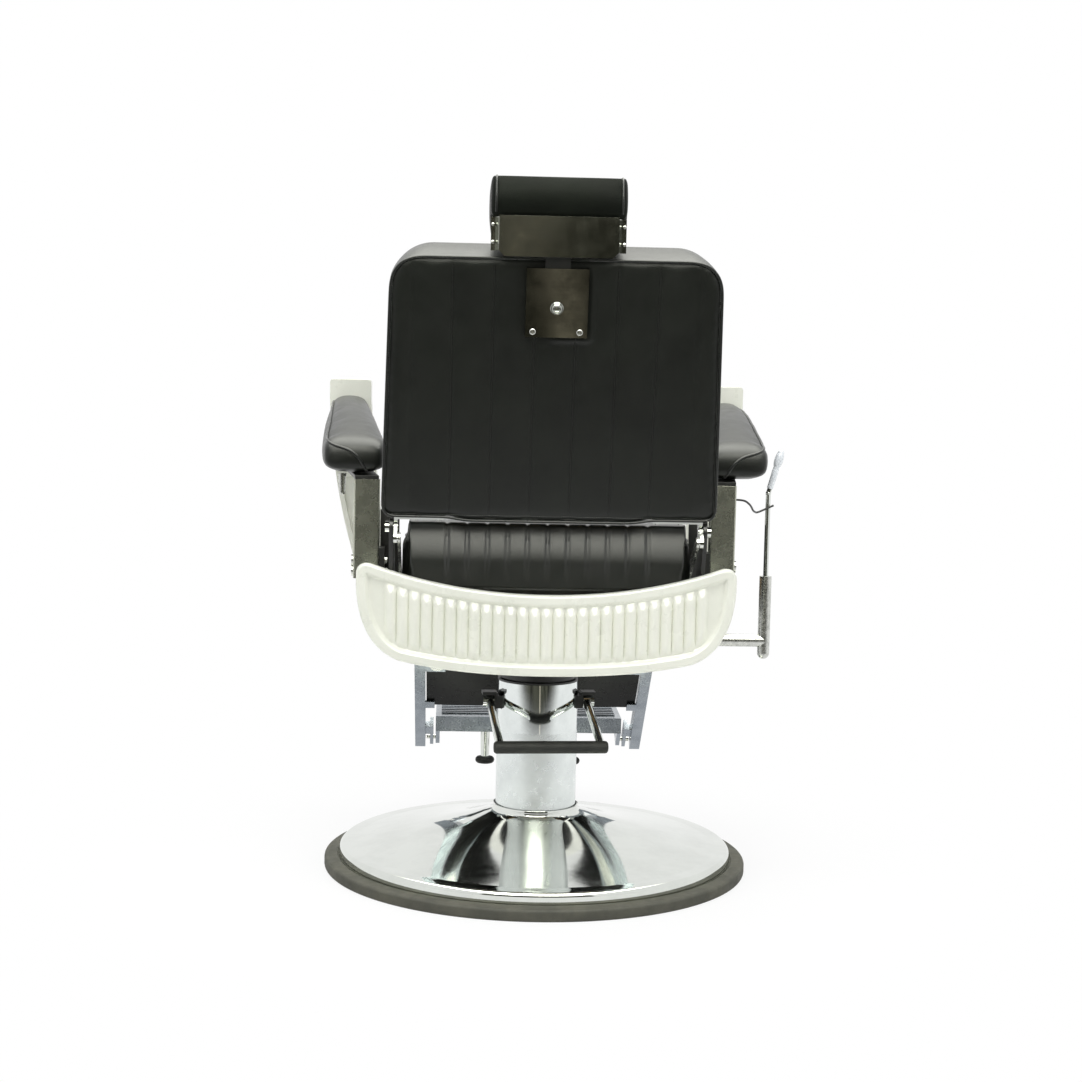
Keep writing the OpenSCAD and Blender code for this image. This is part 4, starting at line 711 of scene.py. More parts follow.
@dataclass(frozen=True)
class Border:
    """The backrest's edge, from the rear piping to the front welt, in its own frame."""

    half: float = 242.5
    half_top: float = 232.5
    high: float = 382.0
    foot_round: float = 8.0
    rear_round: float = 40.0
    front_round: float = 60.0
    rear: float = -3.0
    front: float = -76.0
    rise: float = 4.5

    def share(self, y: np.ndarray | float) -> Any:
        """Gives how far a depth lies from the piping, 0, to the front welt, 1."""
        return np.clip((self.rear - y) / (self.rear - self.front), 0, 1)

    def sizes(self, y: float) -> Flat:
        """Gives the height of the top and the radius of its corners at a depth."""
        u = float(self.share(y))
        return (self.high + self.rise * u,
                self.rear_round + (self.front_round - self.rear_round) * u)

    def loop(self, inset: float, low: float, high: float, r: float, step: float) -> Hits:
        """Walks round the edge, inset at both sides, between two heights."""
        return rounded_outline(self.half - inset, self.half_top - inset, low, high,
                               self.foot_round, r, step)

    def drawn(self, own: np.ndarray, facing: np.ndarray, under: float = 0.6) -> np.ndarray:
        """Draws the border's skin taut, just under the band.

        Args:
            own: Points in this frame's millimetres.
            facing: How far each normal looks along the depth, from -1 to 1.
            under: How far the skin stays below the border.

        Returns:
            The moved points.
        """
        moved = own.copy()
        grip = ease((0.85 - np.abs(facing)) / 0.3) * ease((own[:, 1] - self.front + 4) / 4)
        levels = np.linspace(self.front, self.rear, 13)
        nearest = np.argmin(np.abs(own[:, 1][:, None] - levels[None]), axis=1)
        for index, y in enumerate(levels):
            pick = np.nonzero((nearest == index) & (grip > 0))[0]
            high, r = self.sizes(float(y))
            loop = self.loop(under, under, high - under, r, 2)
            spots = np.array([(p.x, p.y) for p, _ in loop])
            ways = np.array([(n.x, n.y) for _, n in loop])
            flat = own[pick][:, (0, 2)]
            close = np.argmin(((flat[:, None] - spots[None]) ** 2).sum(2), axis=1)
            gap = ((spots[close] - flat) * ways[close]).sum(1) * grip[pick]
            moved[pick, 0] += ways[close, 0] * gap
            moved[pick, 2] += ways[close, 1] * gap
        return moved


EDGE = Border()


# ---------------------------------------------------------------- upholstery


@dataclass
class Stuffed:
    """An upholstered piece, blown up from its solid between its seams and its board.

    Its hooks take points in millimetres and their outward normals.
    """

    node: str
    body: str
    name: str
    voxel_mm: float
    inset_mm: float
    cap_mm: float
    margin_mm: Point
    pressure: float = 4.0
    fill: float = 0.8
    finish: Finish = VINYL
    piece: Piece = field(init=False, default=None)

    def held(self, points: np.ndarray, out: np.ndarray) -> np.ndarray:
        """Says which points stay where they are: on the board and along the seams.

        Args:
            points: Points in millimetres.
            out: Their outward normals.

        Returns:
            A mask over the points.
        """
        return np.zeros(len(points), bool)

    def formed(self, points: np.ndarray) -> np.ndarray:
        """Moves the plain skin's points, before it is blown up."""
        return points

    def shaped(self, points: np.ndarray, out: np.ndarray) -> np.ndarray:
        """Moves the finished skin's points, such as into seam grooves."""
        return points

    def trims(self) -> None:
        """Adds the welts and seams that lie on the finished skin."""

    def start(self) -> Piece:
        """Copies the solid, closes its skin, remeshes it evenly and draws it in a little."""
        copy = bpy.data.objects[self.node].data.copy()
        copy.materials.clear()
        piece = link(self.name, copy)
        bpy.ops.mesh.customdata_custom_splitnormals_clear()
        edit(piece, merge(), outward)
        apply(piece, "REMESH", mode="VOXEL", voxel_size=self.voxel_mm * MM,
              use_smooth_shade=True)
        mesh = piece.data
        place(mesh, self.formed(coords(mesh) / MM) * MM)
        place(mesh, coords(mesh) - normals(mesh) * self.inset_mm * MM)
        return piece

    def inflate(self) -> None:
        """Blows the skin up as cloth and keeps the result, with each point's way capped."""
        mesh = self.piece.data
        rest = coords(mesh)
        mask = self.held(rest / MM, normals(mesh))
        group = self.piece.vertex_groups.new(name="held")
        group.add([int(i) for i in np.nonzero(mask)[0]], 1.0, "REPLACE")
        activate(self.piece)
        cloth = self.piece.modifiers.new("Filling", "CLOTH")
        for key, value in (("quality", 5), ("mass", 0.3), ("tension_stiffness", 12),
                           ("compression_stiffness", 12), ("shear_stiffness", 6),
                           ("bending_stiffness", 0.4), ("use_pressure", True),
                           ("uniform_pressure_force", self.pressure),
                           ("vertex_group_mass", "held")):
            setattr(cloth.settings, key, value)
        cloth.settings.effector_weights.gravity = 0
        cloth.collision_settings.use_collision = False
        cloth.point_cache.frame_start = 1
        cloth.point_cache.frame_end = CLOTH_FRAMES
        for frame_number in range(1, CLOTH_FRAMES + 1):
            bpy.context.scene.frame_set(frame_number)
        graph = bpy.context.evaluated_depsgraph_get()
        blown = coords(self.piece.evaluated_get(graph).data)
        self.piece.modifiers.remove(cloth)
        bpy.context.scene.frame_set(1)
        way = blown - rest
        far = np.linalg.norm(way, axis=1)
        cap = self.cap_mm * MM
        short = np.where(far > 1e-9, cap * np.tanh(far / cap) / np.maximum(far, 1e-9), 1.0)
        place(mesh, rest + way * short[:, None])

    def build(self) -> None:
        """Makes the piece, finishes its skin and hands it to its body."""
        low, high = (np.array(v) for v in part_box(self.node))
        self.piece = self.start()
        self.inflate()
        apply(self.piece, "CORRECTIVE_SMOOTH", iterations=3, factor=0.5, smooth_type="SIMPLE",
              use_only_smooth=True)
        apply(self.piece, "SUBSURF", levels=1, render_levels=1)
        mesh = self.piece.data
        margin = np.array(self.margin_mm) * MM
        place(mesh, np.clip(coords(mesh), low - margin, high + margin))
        place(mesh, self.shaped(coords(mesh) / MM, normals(mesh)) * MM)
        self.piece.vertex_groups.clear()
        smooth(self.piece, 180)
        give(self.piece, self.finish, self.body, self.node)
        self.trims()

    def cord(self, name: str, hits: Hits, radius_mm: float, closed: bool = False,
             sink: float = 0.35, finish: Finish = WELT, rounds: int = 3,
             step_mm: float = 5.0) -> Piece:
        """Lays a round cord along points on the skin.

        Args:
            name: Name of the piece.
            hits: Points on the skin and their normals.
            radius_mm: Radius of the cord.
            closed: True for a loop.
            sink: Share of the radius that is sunk into the skin.
            finish: The cord's finish.
            rounds: Rounds of smoothing along the path.
            step_mm: Distance between the path's points.

        Returns:
            The cord.
        """
        lifted = [p + n * radius_mm * MM * (1 - 2 * sink) for p, n in hits]
        path = relaxed(even(lifted, step_mm * MM, closed), rounds, closed)
        return give(tube(name, path, radius_mm * MM, closed), finish, self.body)


def groove(points: np.ndarray, out: np.ndarray, distance: np.ndarray, deep_mm: float,
           wide_mm: float, where: np.ndarray) -> np.ndarray:
    """Presses a seam into a skin.

    Args:
        points: Points in millimetres.
        out: Outward normals.
        distance: Distance of each point from the seam.
        deep_mm: Depth of the seam.
        wide_mm: Half width of the seam.
        where: Share of the depth at each point.

    Returns:
        The moved points.
    """
    press = deep_mm * np.exp(-((distance / wide_mm) ** 2)) * where
    return points - out * press[:, None]


def seam_distance(x: np.ndarray, count: int, pitch: float) -> np.ndarray:
    """Gives the distance from the nearest of the seams that bound a row of channels."""
    lines = (np.arange(count + 1) - count / 2) * pitch
    return np.min(np.abs(x[:, None] - lines[None]), axis=1)


@dataclass
class SeatCushion(Stuffed):
    """The seat: ten sewn channels over foam, between two plain side panels."""

    finish: Finish = SEAT_VINYL
    channels: int = 10
    pitch: float = 29.5
    board_z: float = 452.3
    crown_z: float = 568.0
    rear: float = 232.0
    front: float = -262.0
    half: float = 213.5
    corner: float = 22.0
    rear_roll: float = 58.0
    front_roll: float = 40.0

    def formed(self, points: np.ndarray) -> np.ndarray:
        """Squares the rear corners and rolls the rear and front edges down."""
        p = points.copy()
        side, y, z = np.sign(p[:, 0]), p[:, 1].copy(), p[:, 2].copy()
        u = np.maximum(np.abs(p[:, 0]) - (self.half - self.corner), 0) / self.corner
        v = np.maximum(y - (self.rear - self.corner), 0) / self.corner
        both = (u > 0) & (v > 0)
        grow = np.where(both, (np.hypot(u, v) / np.maximum(np.maximum(u, v), 1e-6)) ** 0.7, 1)
        p[:, 0] = np.where(both, side * (self.half - self.corner + self.corner * u * grow),
                           p[:, 0])
        y = np.where(both, self.rear - self.corner + self.corner * v * grow, y)
        for edge, r, way in ((self.rear, self.rear_roll, 1), (self.front, self.front_roll, -1)):
            dy = way * (y - edge) + r
            dz = z - (self.crown_z - r)
            far = np.hypot(dy, dz)
            over = (dy > 0) & (dz > 0) & (far > r)
            pull = np.where(over, r / np.maximum(far, 1e-6), 1)
            y = np.where(over, edge - way * r + way * dy * pull, y)
            z = np.where(over, self.crown_z - r + dz * pull, z)
        p[:, 1], p[:, 2] = y, z
        return p

    def held(self, points: np.ndarray, out: np.ndarray) -> np.ndarray:
        """Holds the underside, the channel seams and the edges of the side panels."""
        sewn = seam_distance(points[:, 0], self.channels, self.pitch) < 2.8
        sewn &= (points[:, 2] > self.board_z + 40) & (np.abs(out[:, 0]) < 0.8)
        return sewn | (points[:, 2] < self.board_z + 6)

    def roll(self) -> np.ndarray:
        """Gives the rear's section as (y, z) points, from the top of its roll's centre."""
        r = self.rear_roll
        shoulder = bezier([(r - 27, r), (r - 18, r), (r - 14.5, r - 1), (r - 13, r - 4)], 12)
        fall = bezier([(r - 13, r - 4), (r - 6.9, r - 25.1), (r - 0.5, r - 44),
                       (r, r - 56)], 24)
        return np.array([(0, r)] + shoulder + fall[1:] + [(r, 0)])

    def shaped(self, points: np.ndarray, out: np.ndarray) -> np.ndarray:
        """Draws the rear taut over its roll, and presses the channel seams."""
        d = seam_distance(points[:, 0], self.channels, self.pitch)
        fade = ease((points[:, 2] - self.board_z - 22) / 40)
        taut = ease((points[:, 1] - 120) / 45) * ease((0.75 - np.abs(out[:, 0])) / 0.35)
        taut *= points[:, 2] > self.board_z + 20
        p = points.copy()
        r, line = self.rear_roll, self.roll()
        turn = np.arctan2(line[:, 1], line[:, 0])[::-1]
        reach = np.hypot(line[:, 0], line[:, 1])[::-1]
        dy, dz = p[:, 1] - (self.rear - r), p[:, 2] - (self.crown_z - r)
        far = np.maximum(np.hypot(dy, dz), 1e-6)
        goal = np.interp(np.arctan2(dz, dy), turn, reach) / far - 1
        rolls = (dy > 0) & (dz > 0)
        share = taut * (far > r - 16)
        p[:, 1] += np.where(rolls, dy * goal, np.where(dy > 0, r - dy, 0)) * share
        p[:, 2] += np.where(rolls, dz * goal, np.where(dz > 0, r - dz, 0)) * share
        return groove(p, out, d, 2.4, 2.3, fade * (np.abs(out[:, 0]) < 0.85))

    def trims(self) -> None:
        """Lays the welts along the top edges of the two sides."""
        tree = tree_of(self.piece)
        low, high = (np.array(v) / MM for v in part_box(self.node))
        for side, where in RIGHT_LEFT:
            rays = [(Vector((side * (high[0] + 30), y, high[2] + 18)) * MM,
                     Vector((-side, 0, -1.15)))
                    for y in np.linspace(low[1] + 8, high[1] - 8, 60)]
            self.cord("seat_side_welt_" + where, cast(tree, rays), 2.0)


@dataclass
class Channelled(Stuffed):
    """A skin of the backrest, with seven wide channels."""

    channels: int = 7
    pitch: float = 58.0

    def seams(self, own: np.ndarray) -> np.ndarray:
        """Gives the distance from the nearest seam, of points in the backrest's frame."""
        return seam_distance(own[:, 0], self.channels, self.pitch)

    def taut(self, own: np.ndarray, out: np.ndarray) -> np.ndarray:
        """Draws the border's skin taut, given points in the backrest's frame."""
        return EDGE.drawn(own, out @ np.array(BACK.along(0, 1, 0)))


@dataclass
class BackCushion(Channelled):
    """The leaning front cushion, with wide channels inside a welted border."""

    def held(self, points: np.ndarray, out: np.ndarray) -> np.ndarray:
        """Holds the side on the board, the channel seams and the welted border."""
        own = BACK.local(points * MM)
        sewn = (self.seams(own) < 3.0) & (own[:, 1] < -60)
        border = np.abs(own[:, 1] - EDGE.front) < 2.6
        return sewn | border | (own[:, 1] > -32)

    def shaped(self, points: np.ndarray, out: np.ndarray) -> np.ndarray:
        """Presses the channel seams into the front."""
        own = BACK.local(points * MM)
        moved = groove(points, out, self.seams(own), 2.6, 3.0,
                       ease((EDGE.front - own[:, 1]) / 8))
        own = BACK.local(moved * MM)
        own[:, 2] += EDGE.rise * EDGE.share(own[:, 1]) * ease((own[:, 2] - 330) / 50)
        return BACK.world(self.taut(own, out))

    def trims(self) -> None:
        """Lays the welt round the front border, and the boxing band behind it."""
        rays = [(BACK.at(p.x + n.x * 30, EDGE.front - 1, p.y + n.y * 30),
                 BACK.along(-n.x, 0, -n.y))
                for p, n in EDGE.loop(0, 0, EDGE.high + EDGE.rise, EDGE.front_round, 8)]
        self.cord("back_front_welt", cast(tree_of(self.piece), rays), 2.6, closed=True)
        self.boxing()

    def boxing(self) -> None:
        """Wraps the band of vinyl over the top and down both sides, from seam to seam."""
        b = EDGE
        depths = np.linspace(b.rear, b.front, 15)
        rows = []
        for y in depths:
            high, r = b.sizes(float(y))
            puff = 0.5 + 1.3 * math.sin(math.pi * float(b.share(y)))
            side = [(b.half + puff + (b.half_top - b.half) * t, 12 + (high - r - 12) * t)
                    for t in np.linspace(0, 1, 40)]
            side += arc((b.half_top - r, high - r), r + puff, 0, 90, 16)[1:]
            across = [(x, high + puff) for x in np.linspace(b.half_top - r, r - b.half_top,
                                                            60)[1:-1]]
            rows.append(side + across + [(-x, z) for x, z in side[::-1]])
        band, i, k = sheet("back_boxing_band", len(rows[0]), len(rows))
        flat = np.array(rows)[k, i]
        own = np.stack([flat[:, 0], depths[k], flat[:, 1]], 1)
        place(band.data, BACK.world(own) * MM)
        apply(band, "SOLIDIFY", thickness=1.0 * MM, offset=-1)
        edit(band, outward)
        smooth(band, 60)
        give(band, VINYL, self.body)


@dataclass
class RearPanel(Channelled):
    """The upholstered rear of the backrest, with piped edge and upright seams."""

    holder_low: float = 274.0
    holder_half: float = 43.5
    sag: float = 5.0
    bar_in: float = 150.0

    def held(self, points: np.ndarray, out: np.ndarray) -> np.ndarray:
        """Holds the side on the board and the seams."""
        own = BACK.local(points * MM)
        return ((self.seams(own) < 3.0) & (own[:, 1] > -6)) | (own[:, 1] < -12)

    def shaped(self, points: np.ndarray, out: np.ndarray) -> np.ndarray:
        """Presses the seams, and swells the padding beside the headrest's holder."""
        own = BACK.local(points * MM)
        rear = ease((own[:, 1] + 7) / 5)
        below = ease((self.holder_low - 6 - own[:, 2]) / 6)
        beside = ease((np.abs(own[:, 0]) - self.holder_half - 6) / 6)
        moved = groove(points, out, self.seams(own), 0.9, 2.0,
                       rear * np.maximum(below, beside))
        gap = np.hypot(np.maximum(-own[:, 0] - self.holder_half, 0),
                       np.maximum(self.holder_low - own[:, 2], 0))
        swell = 1.6 * np.exp(-(((gap - 6) / 5) ** 2)) * ease(gap / 4) * rear
        swell *= ease((376 - own[:, 2]) / 20) * ease((20 - own[:, 0]) / 30)
        own = self.taut(BACK.local((moved + out * swell[:, None]) * MM), out)
        own[:, 2] -= (self.sag * ease((self.bar_in - np.abs(own[:, 0])) / 30)
                      * ease((14 - own[:, 2]) / 14))
        return BACK.world(own)

    def trims(self) -> None:
        """Lays the piping round the edge and a fine ridge along each seam."""
        tree = tree_of(self.piece)
        edge = []
        for p, n in EDGE.loop(0.4, 0.2, EDGE.high - 0.4, EDGE.rear_round, 7):
            drop = self.sag * float(ease((self.bar_in - abs(p.x)) / 30)) * (p.y < 20)
            edge.append((BACK.at(p.x, EDGE.rear - 0.4, p.y - drop), BACK.along(n.x, 0, n.y)))
        self.cord("back_rear_piping", edge, 2.0, closed=True, sink=0.4, rounds=6)
        ridges = []
        for k in range(1, self.channels):
            x = (k - self.channels / 2) * self.pitch
            high = self.holder_low - 4 if abs(x) < self.holder_half else 370
            rays = [(BACK.at(x + 0.9, 40, z), BACK.along(0, -1, 0))
                    for z in np.linspace(8, high, 48)]
            ridges.append(self.cord(f"ridge_{k}", cast(tree, rays), 0.7, sink=0.3,
                                    finish=VINYL, step_mm=8))
        give(joined("back_rear_seams", ridges), VINYL, self.body)
        self.stitches(tree)

    def stitches(self, tree: BVHTree) -> None:
        """Sews the row of long stitches beside the piping."""
        inner = rounded_outline(EDGE.half - 2.9, EDGE.half_top - 2.9, 2.6, EDGE.high - 2.6,
                                EDGE.foot_round - 2, EDGE.rear_round - 2, 3.2)
        rays = [(BACK.at(p.x, 40, p.y), BACK.along(0, -1, 0)) for p, _ in inner]
        found = [p + n * 0.25 * MM for p, n in cast(tree, rays)]
        sewn = [tube(f"stitch_{i}", [a, a.lerp(b, 0.62)], 0.42 * MM, False, sides=5)
                for i, (a, b) in enumerate(zip(found, found[1:]))]
        give(joined("back_rear_stitches", sewn), THREAD, self.body)


@dataclass
class HeadrestPad(Stuffed):
    """The headrest's roll: a plain top with a welted cap at each end."""

    centre: Flat = (325.0, 1013.0)
    cap_x: float = 87.0
    rear_y: float = 351.0
    bracket_top: float = 1005.0
    rise: float = 4.0
    hang: float = 6.5
    flank: float = 97.6
    half_y: float = 38.0
    half_z: float = 44.0
    square: float = 0.6
    finish: Finish = PAD_VINYL

    def formed(self, points: np.ndarray) -> np.ndarray:
        """Fills the crown, hangs the roll over the bracket and widens the part below."""
        p = points.copy()
        dy, dz = points[:, 1] - self.centre[0] + 8, points[:, 2] - self.centre[1]
        u, v = dy / self.half_y, dz / self.half_z
        grow = np.hypot(u, v) / np.maximum(np.maximum(np.abs(u), np.abs(v)), 0.05)
        grow = np.where((u > 0) & (v > 0) & (np.hypot(u, v) > 0.5), grow ** self.square, 1)
        p[:, 1] += dy * (grow - 1)
        p[:, 2] += dz * (grow - 1)
        p[:, 2] += self.rise * ease((points[:, 2] - 1022) / 30)
        behind = ease((points[:, 1] - self.rear_y + 2) / 8)
        p[:, 2] -= self.hang * behind * ease((1024 - points[:, 2]) / 18)
        low = ease((self.bracket_top + 6 - points[:, 2]) / 12) * (1 - behind)
        outer = ease((np.abs(points[:, 0]) - 60) / 30)
        reach = np.abs(points[:, 0]).max()
        p[:, 0] += np.sign(points[:, 0]) * (self.flank - reach) * low * outer
        return p

    def held(self, points: np.ndarray, out: np.ndarray) -> np.ndarray:
        """Holds the two end seams and what rests on the bracket."""
        sewn = np.abs(np.abs(points[:, 0]) - self.cap_x) < 2.2
        rests = (points[:, 1] > self.rear_y - 5) & (points[:, 2] < self.bracket_top - 2)
        return sewn | rests

    def trims(self) -> None:
        """Lays a welt round each end, from the bracket's top over the roll to its foot."""
        tree = tree_of(self.piece)
        for side, where in RIGHT_LEFT:
            centre = Vector((side * self.cap_x, *self.centre)) * MM
            spokes = [Vector((0, math.cos(a), math.sin(a)))
                      for a in np.radians(np.arange(-4, 284, 5))]
            rays = [(centre + reach * 0.12, -reach) for reach in spokes]
            self.cord("headrest_welt_" + where, cast(tree, rays), 1.7, rounds=1, step_mm=3)


@dataclass
class ArmPad(Stuffed):
    """An arm pad: a top that rolls down at the rear, and a welted outer side."""

    outer_rear: float = 341.0
    outer_front: float = 352.0
    top: float = 741.0
    drop: float = 50.0
    front: float = -262.0
    length: float = 366.0

    def held(self, points: np.ndarray, out: np.ndarray) -> np.ndarray:
        """Holds the underside on its rail and the front end on its casting."""
        return (points[:, 2] < 633) | (points[:, 1] < self.front + 4)

    def trims(self) -> None:
        """Lays the welt along the outer top edge, then down and in round the rear."""
        rays = []
        for y in np.linspace(self.front + 6, self.front + self.length - 14, 50):
            t = (y - self.front) / self.length
            x = self.outer_front + (self.outer_rear - self.outer_front) * t
            z = self.top - self.drop * t * t
            rays.append((Vector((x + 24, y, z + 14)) * MM, Vector((-1, 0, -0.85))))
        swoop = bezier([(336, 690), (330, 668), (312, 673), (298, 668)], 14)[1:]
        swoop += bezier([(298, 668), (282, 662), (276, 648), (267, 628)], 14)[1:]
        rays += [(Vector((x, 250, z)) * MM, Vector((0, -1, 0))) for x, z in swoop]
        self.cord(self.name.replace("cushion", "welt"), cast(tree_of(self.piece), rays), 2.2,
                  sink=0.25, rounds=6)


@dataclass
class CalfPad(Stuffed):
    """The calf pad on the footrest's board, welted round its face."""

    half: float = 178.0
    low: float = -195.0
    high: float = -45.0
    corner: float = 12.0
    face: float = -25.0

    def held(self, points: np.ndarray, out: np.ndarray) -> np.ndarray:
        """Holds the side on its board."""
        return FOOT.local(points * MM)[:, 1] > -2

    def trims(self) -> None:
        """Lays the welt round the face."""
        outline = rounded_outline(self.half, self.half, self.low, self.high, self.corner,
                                  self.corner, 7)
        rays = [(FOOT.at(p.x + n.x * 30, self.face, p.y + n.y * 30),
                 FOOT.along(-n.x, 0, -n.y)) for p, n in outline]
        self.cord("calf_welt", cast(tree_of(self.piece), rays), 2.0, closed=True)


# ---------------------------------------------------------------- rigid skins


@dataclass
class Skirt:
    """The fluted rear skirt: a bowed moulding with a raised rim round tapering flutes."""

    half: float = 280.0
    face: float = 258.0
    bow: float = 18.0
    thick: float = 12.0
    rim: float = 13.0
    recess: float = 7.0
    flutes: int = 27
    pitch: float = 17.6
    rise: float = 7.6

    def outline(self) -> tuple[np.ndarray, np.ndarray]:
        """Gives the upper and the lower edge of the right half as (x, z) points."""
        h = self.half
        upper = bezier([(0, 465.5), (105, 465.5), (190, 483), (h - 22, 506)], 40)
        upper += bezier([(h - 22, 506), (h - 10, 509), (h, 503), (h, 490)], 30)[1:]
        lower = bezier([(h, 490), (h + 1, 440), (h - 12, 382), (h - 65, 364)], 50)
        lower += bezier([(h - 65, 364), (160, 352), (90, 345.5), (0, 345.5)], 40)[1:]
        return np.array(upper), np.array(lower)

    def bow_y(self, x: np.ndarray) -> np.ndarray:
        """Gives the face of the bow at a distance from the middle."""
        r = (self.half**2 + self.bow**2) / (2 * self.bow)
        return self.face - r + np.sqrt(r * r - x * x)

    def relief(self, x: np.ndarray, edge: np.ndarray) -> np.ndarray:
        """Gives how far points stand off the bow, below zero inwards.

        Args:
            x: Distances from the middle.
            edge: Distances from the outline.

        Returns:
            The relief in millimetres.
        """
        roll = np.where(edge < 5, -5 + np.sqrt(np.maximum(0, 25 - (5 - edge) ** 2)), 0)
        step = -self.recess * ease((edge - self.rim) / 6.0)
        u = (x + self.flutes * self.pitch / 2) / self.pitch
        on = (u > 0) & (u < self.flutes)
        crown = np.abs(np.sin(np.pi * u)) ** 0.8
        return roll + step + on * crown * self.rise * ease((edge - self.rim - 4) / 15.0)

    def build(self) -> None:
        """Makes the skirt from a fine grid, walls it and hands it to the seat."""
        reach = self.flutes * self.pitch / 2
        side = self.half - 0.4
        ends = reach + (side - reach) * np.sin(np.linspace(0, np.pi / 2, 25)[1:])
        inner = np.linspace(-reach, reach, self.flutes * 14 + 1)
        xs = np.concatenate([-ends[::-1], inner, ends])
        rows = 0.5 - 0.5 * np.cos(np.linspace(0, np.pi, 61))
        rows = 0.6 * rows + 0.4 * np.linspace(0, 1, 61)
        upper, lower = self.outline()
        top = np.interp(np.abs(xs), upper[:, 0], upper[:, 1])
        foot = np.interp(np.abs(xs), lower[::-1, 0], lower[::-1, 1])
        piece, i, k = sheet("skirt_fluted", len(xs), len(rows))
        x = xs[i]
        z = foot[i] + (top[i] - foot[i]) * rows[k]
        loop = np.concatenate([upper, lower])
        a, d = loop[:-1], np.diff(loop, axis=0)
        p = np.stack([np.abs(x), z], 1)
        t = np.clip(((p[:, None] - a) * d).sum(2) / np.maximum((d * d).sum(1), 1e-9), 0, 1)
        edge = np.linalg.norm(p[:, None] - a - t[..., None] * d, axis=2).min(1)
        place(piece.data, np.stack([x, self.bow_y(x) + self.relief(x, edge), z], 1) * MM)
        edit(piece, lambda: bpy.ops.mesh.flip_normals())
        apply(piece, "SOLIDIFY", thickness=1 * MM, offset=-1)
        both = coords(piece.data) / MM
        n = len(xs) * len(rows)
        both[n:, 0], both[n:, 2] = both[:n, 0], both[:n, 2]
        both[n:, 1] = self.bow_y(both[n:, 0]) - self.thick
        place(piece.data, both * MM)
        edit(piece, outward)
        smooth(piece, 50)
        give(piece, ENAMEL, "seat", "rear_skirt")


@dataclass
class Base:
    """The floor base's seen skins: the pressed chrome dish and its rubber edge."""

    ring_r: float = 335.0
    dish_r: float = 311.0
    ring_h: float = 19.0
    rim_h: float = 37.0
    hub_r: float = 68.0
    hub_h: float = 101.0
    wall: float = 2.0
    seat_z: float = 13.0

    def dish(self) -> None:
        """Spins the dish: rolled rim, shallow cone, and a flare up to the hub's lip."""
        r, h = self.dish_r, self.rim_h
        outer = [(r, self.seat_z), (r, self.seat_z + 3)]
        outer += arc((r - 7, h - 7), 7, 0, 80, 12)
        outer += bezier([(r - 16, h - 1), (210, h + 12), (150, 60),
                         (self.hub_r + 14, self.hub_h - 14)], 40)[1:]
        outer += arc((self.hub_r + 8, self.hub_h - 4), 8, 225, 180, 6)
        outer += [(self.hub_r, self.hub_h - 1), (self.hub_r - 0.4, self.hub_h - 0.2),
                  (self.hub_r - 1, self.hub_h)]
        inner = [(x - self.wall, max(z - self.wall, self.seat_z)) for x, z in outer[-4::-1]]
        profile = outer + [(self.hub_r - self.wall, self.hub_h)] + inner
        give(turned("dish_pressed", profile + [profile[0]], steps=192), CHROME, "base",
             "base_cover")

    def ring(self) -> None:
        """Spins the rubber edge, with a fine moulded bead along its top."""
        r, h = self.ring_r, self.ring_h
        profile = [(self.dish_r - 15, 0)] + arc((r - 5, 5), 5, -90, 0, 8)
        profile += arc((r - 5, h - 5), 5, 0, 80, 8)
        profile += arc((self.dish_r + 4.2, h - 0.4), 1.5, 60, 180, 8)
        profile += [(self.dish_r + 0.3, h - 1.2), (self.dish_r + 0.3, self.seat_z),
                    (self.dish_r, self.seat_z), (self.dish_r, 5), (self.dish_r - 15, 5)]
        give(turned("edge_rubber", profile + [profile[0]], steps=192), RUBBER, "base",
             "base_ring")


def eased(node: str, body: str, finish: Finish, edge_mm: float) -> None:
    """Copies a rigid node with its edges broken, as filing, casting or folding leaves them.

    Args:
        node: The node that the copy stands for.
        body: The body that carries it.
        finish: Its finish.
        edge_mm: Radius of its edges.
    """
    copy = bpy.data.objects[node].data.copy()
    copy.materials.clear()
    piece = link(node + "_eased", copy)
    bpy.ops.mesh.customdata_custom_splitnormals_clear()
    edit(piece, merge(0.02 * MM),
         lambda: bpy.ops.mesh.dissolve_limited(angle_limit=math.radians(0.6)))
    apply(piece, "BEVEL", width=edge_mm * MM, segments=2, limit_method="ANGLE",
          angle_limit=math.radians(32), use_clamp_overlap=True, miter_outer="MITER_ARC")
    smooth(piece, 40)
    apply(piece, "WEIGHTED_NORMAL", keep_sharp=True)
    give(piece, finish, body, node)


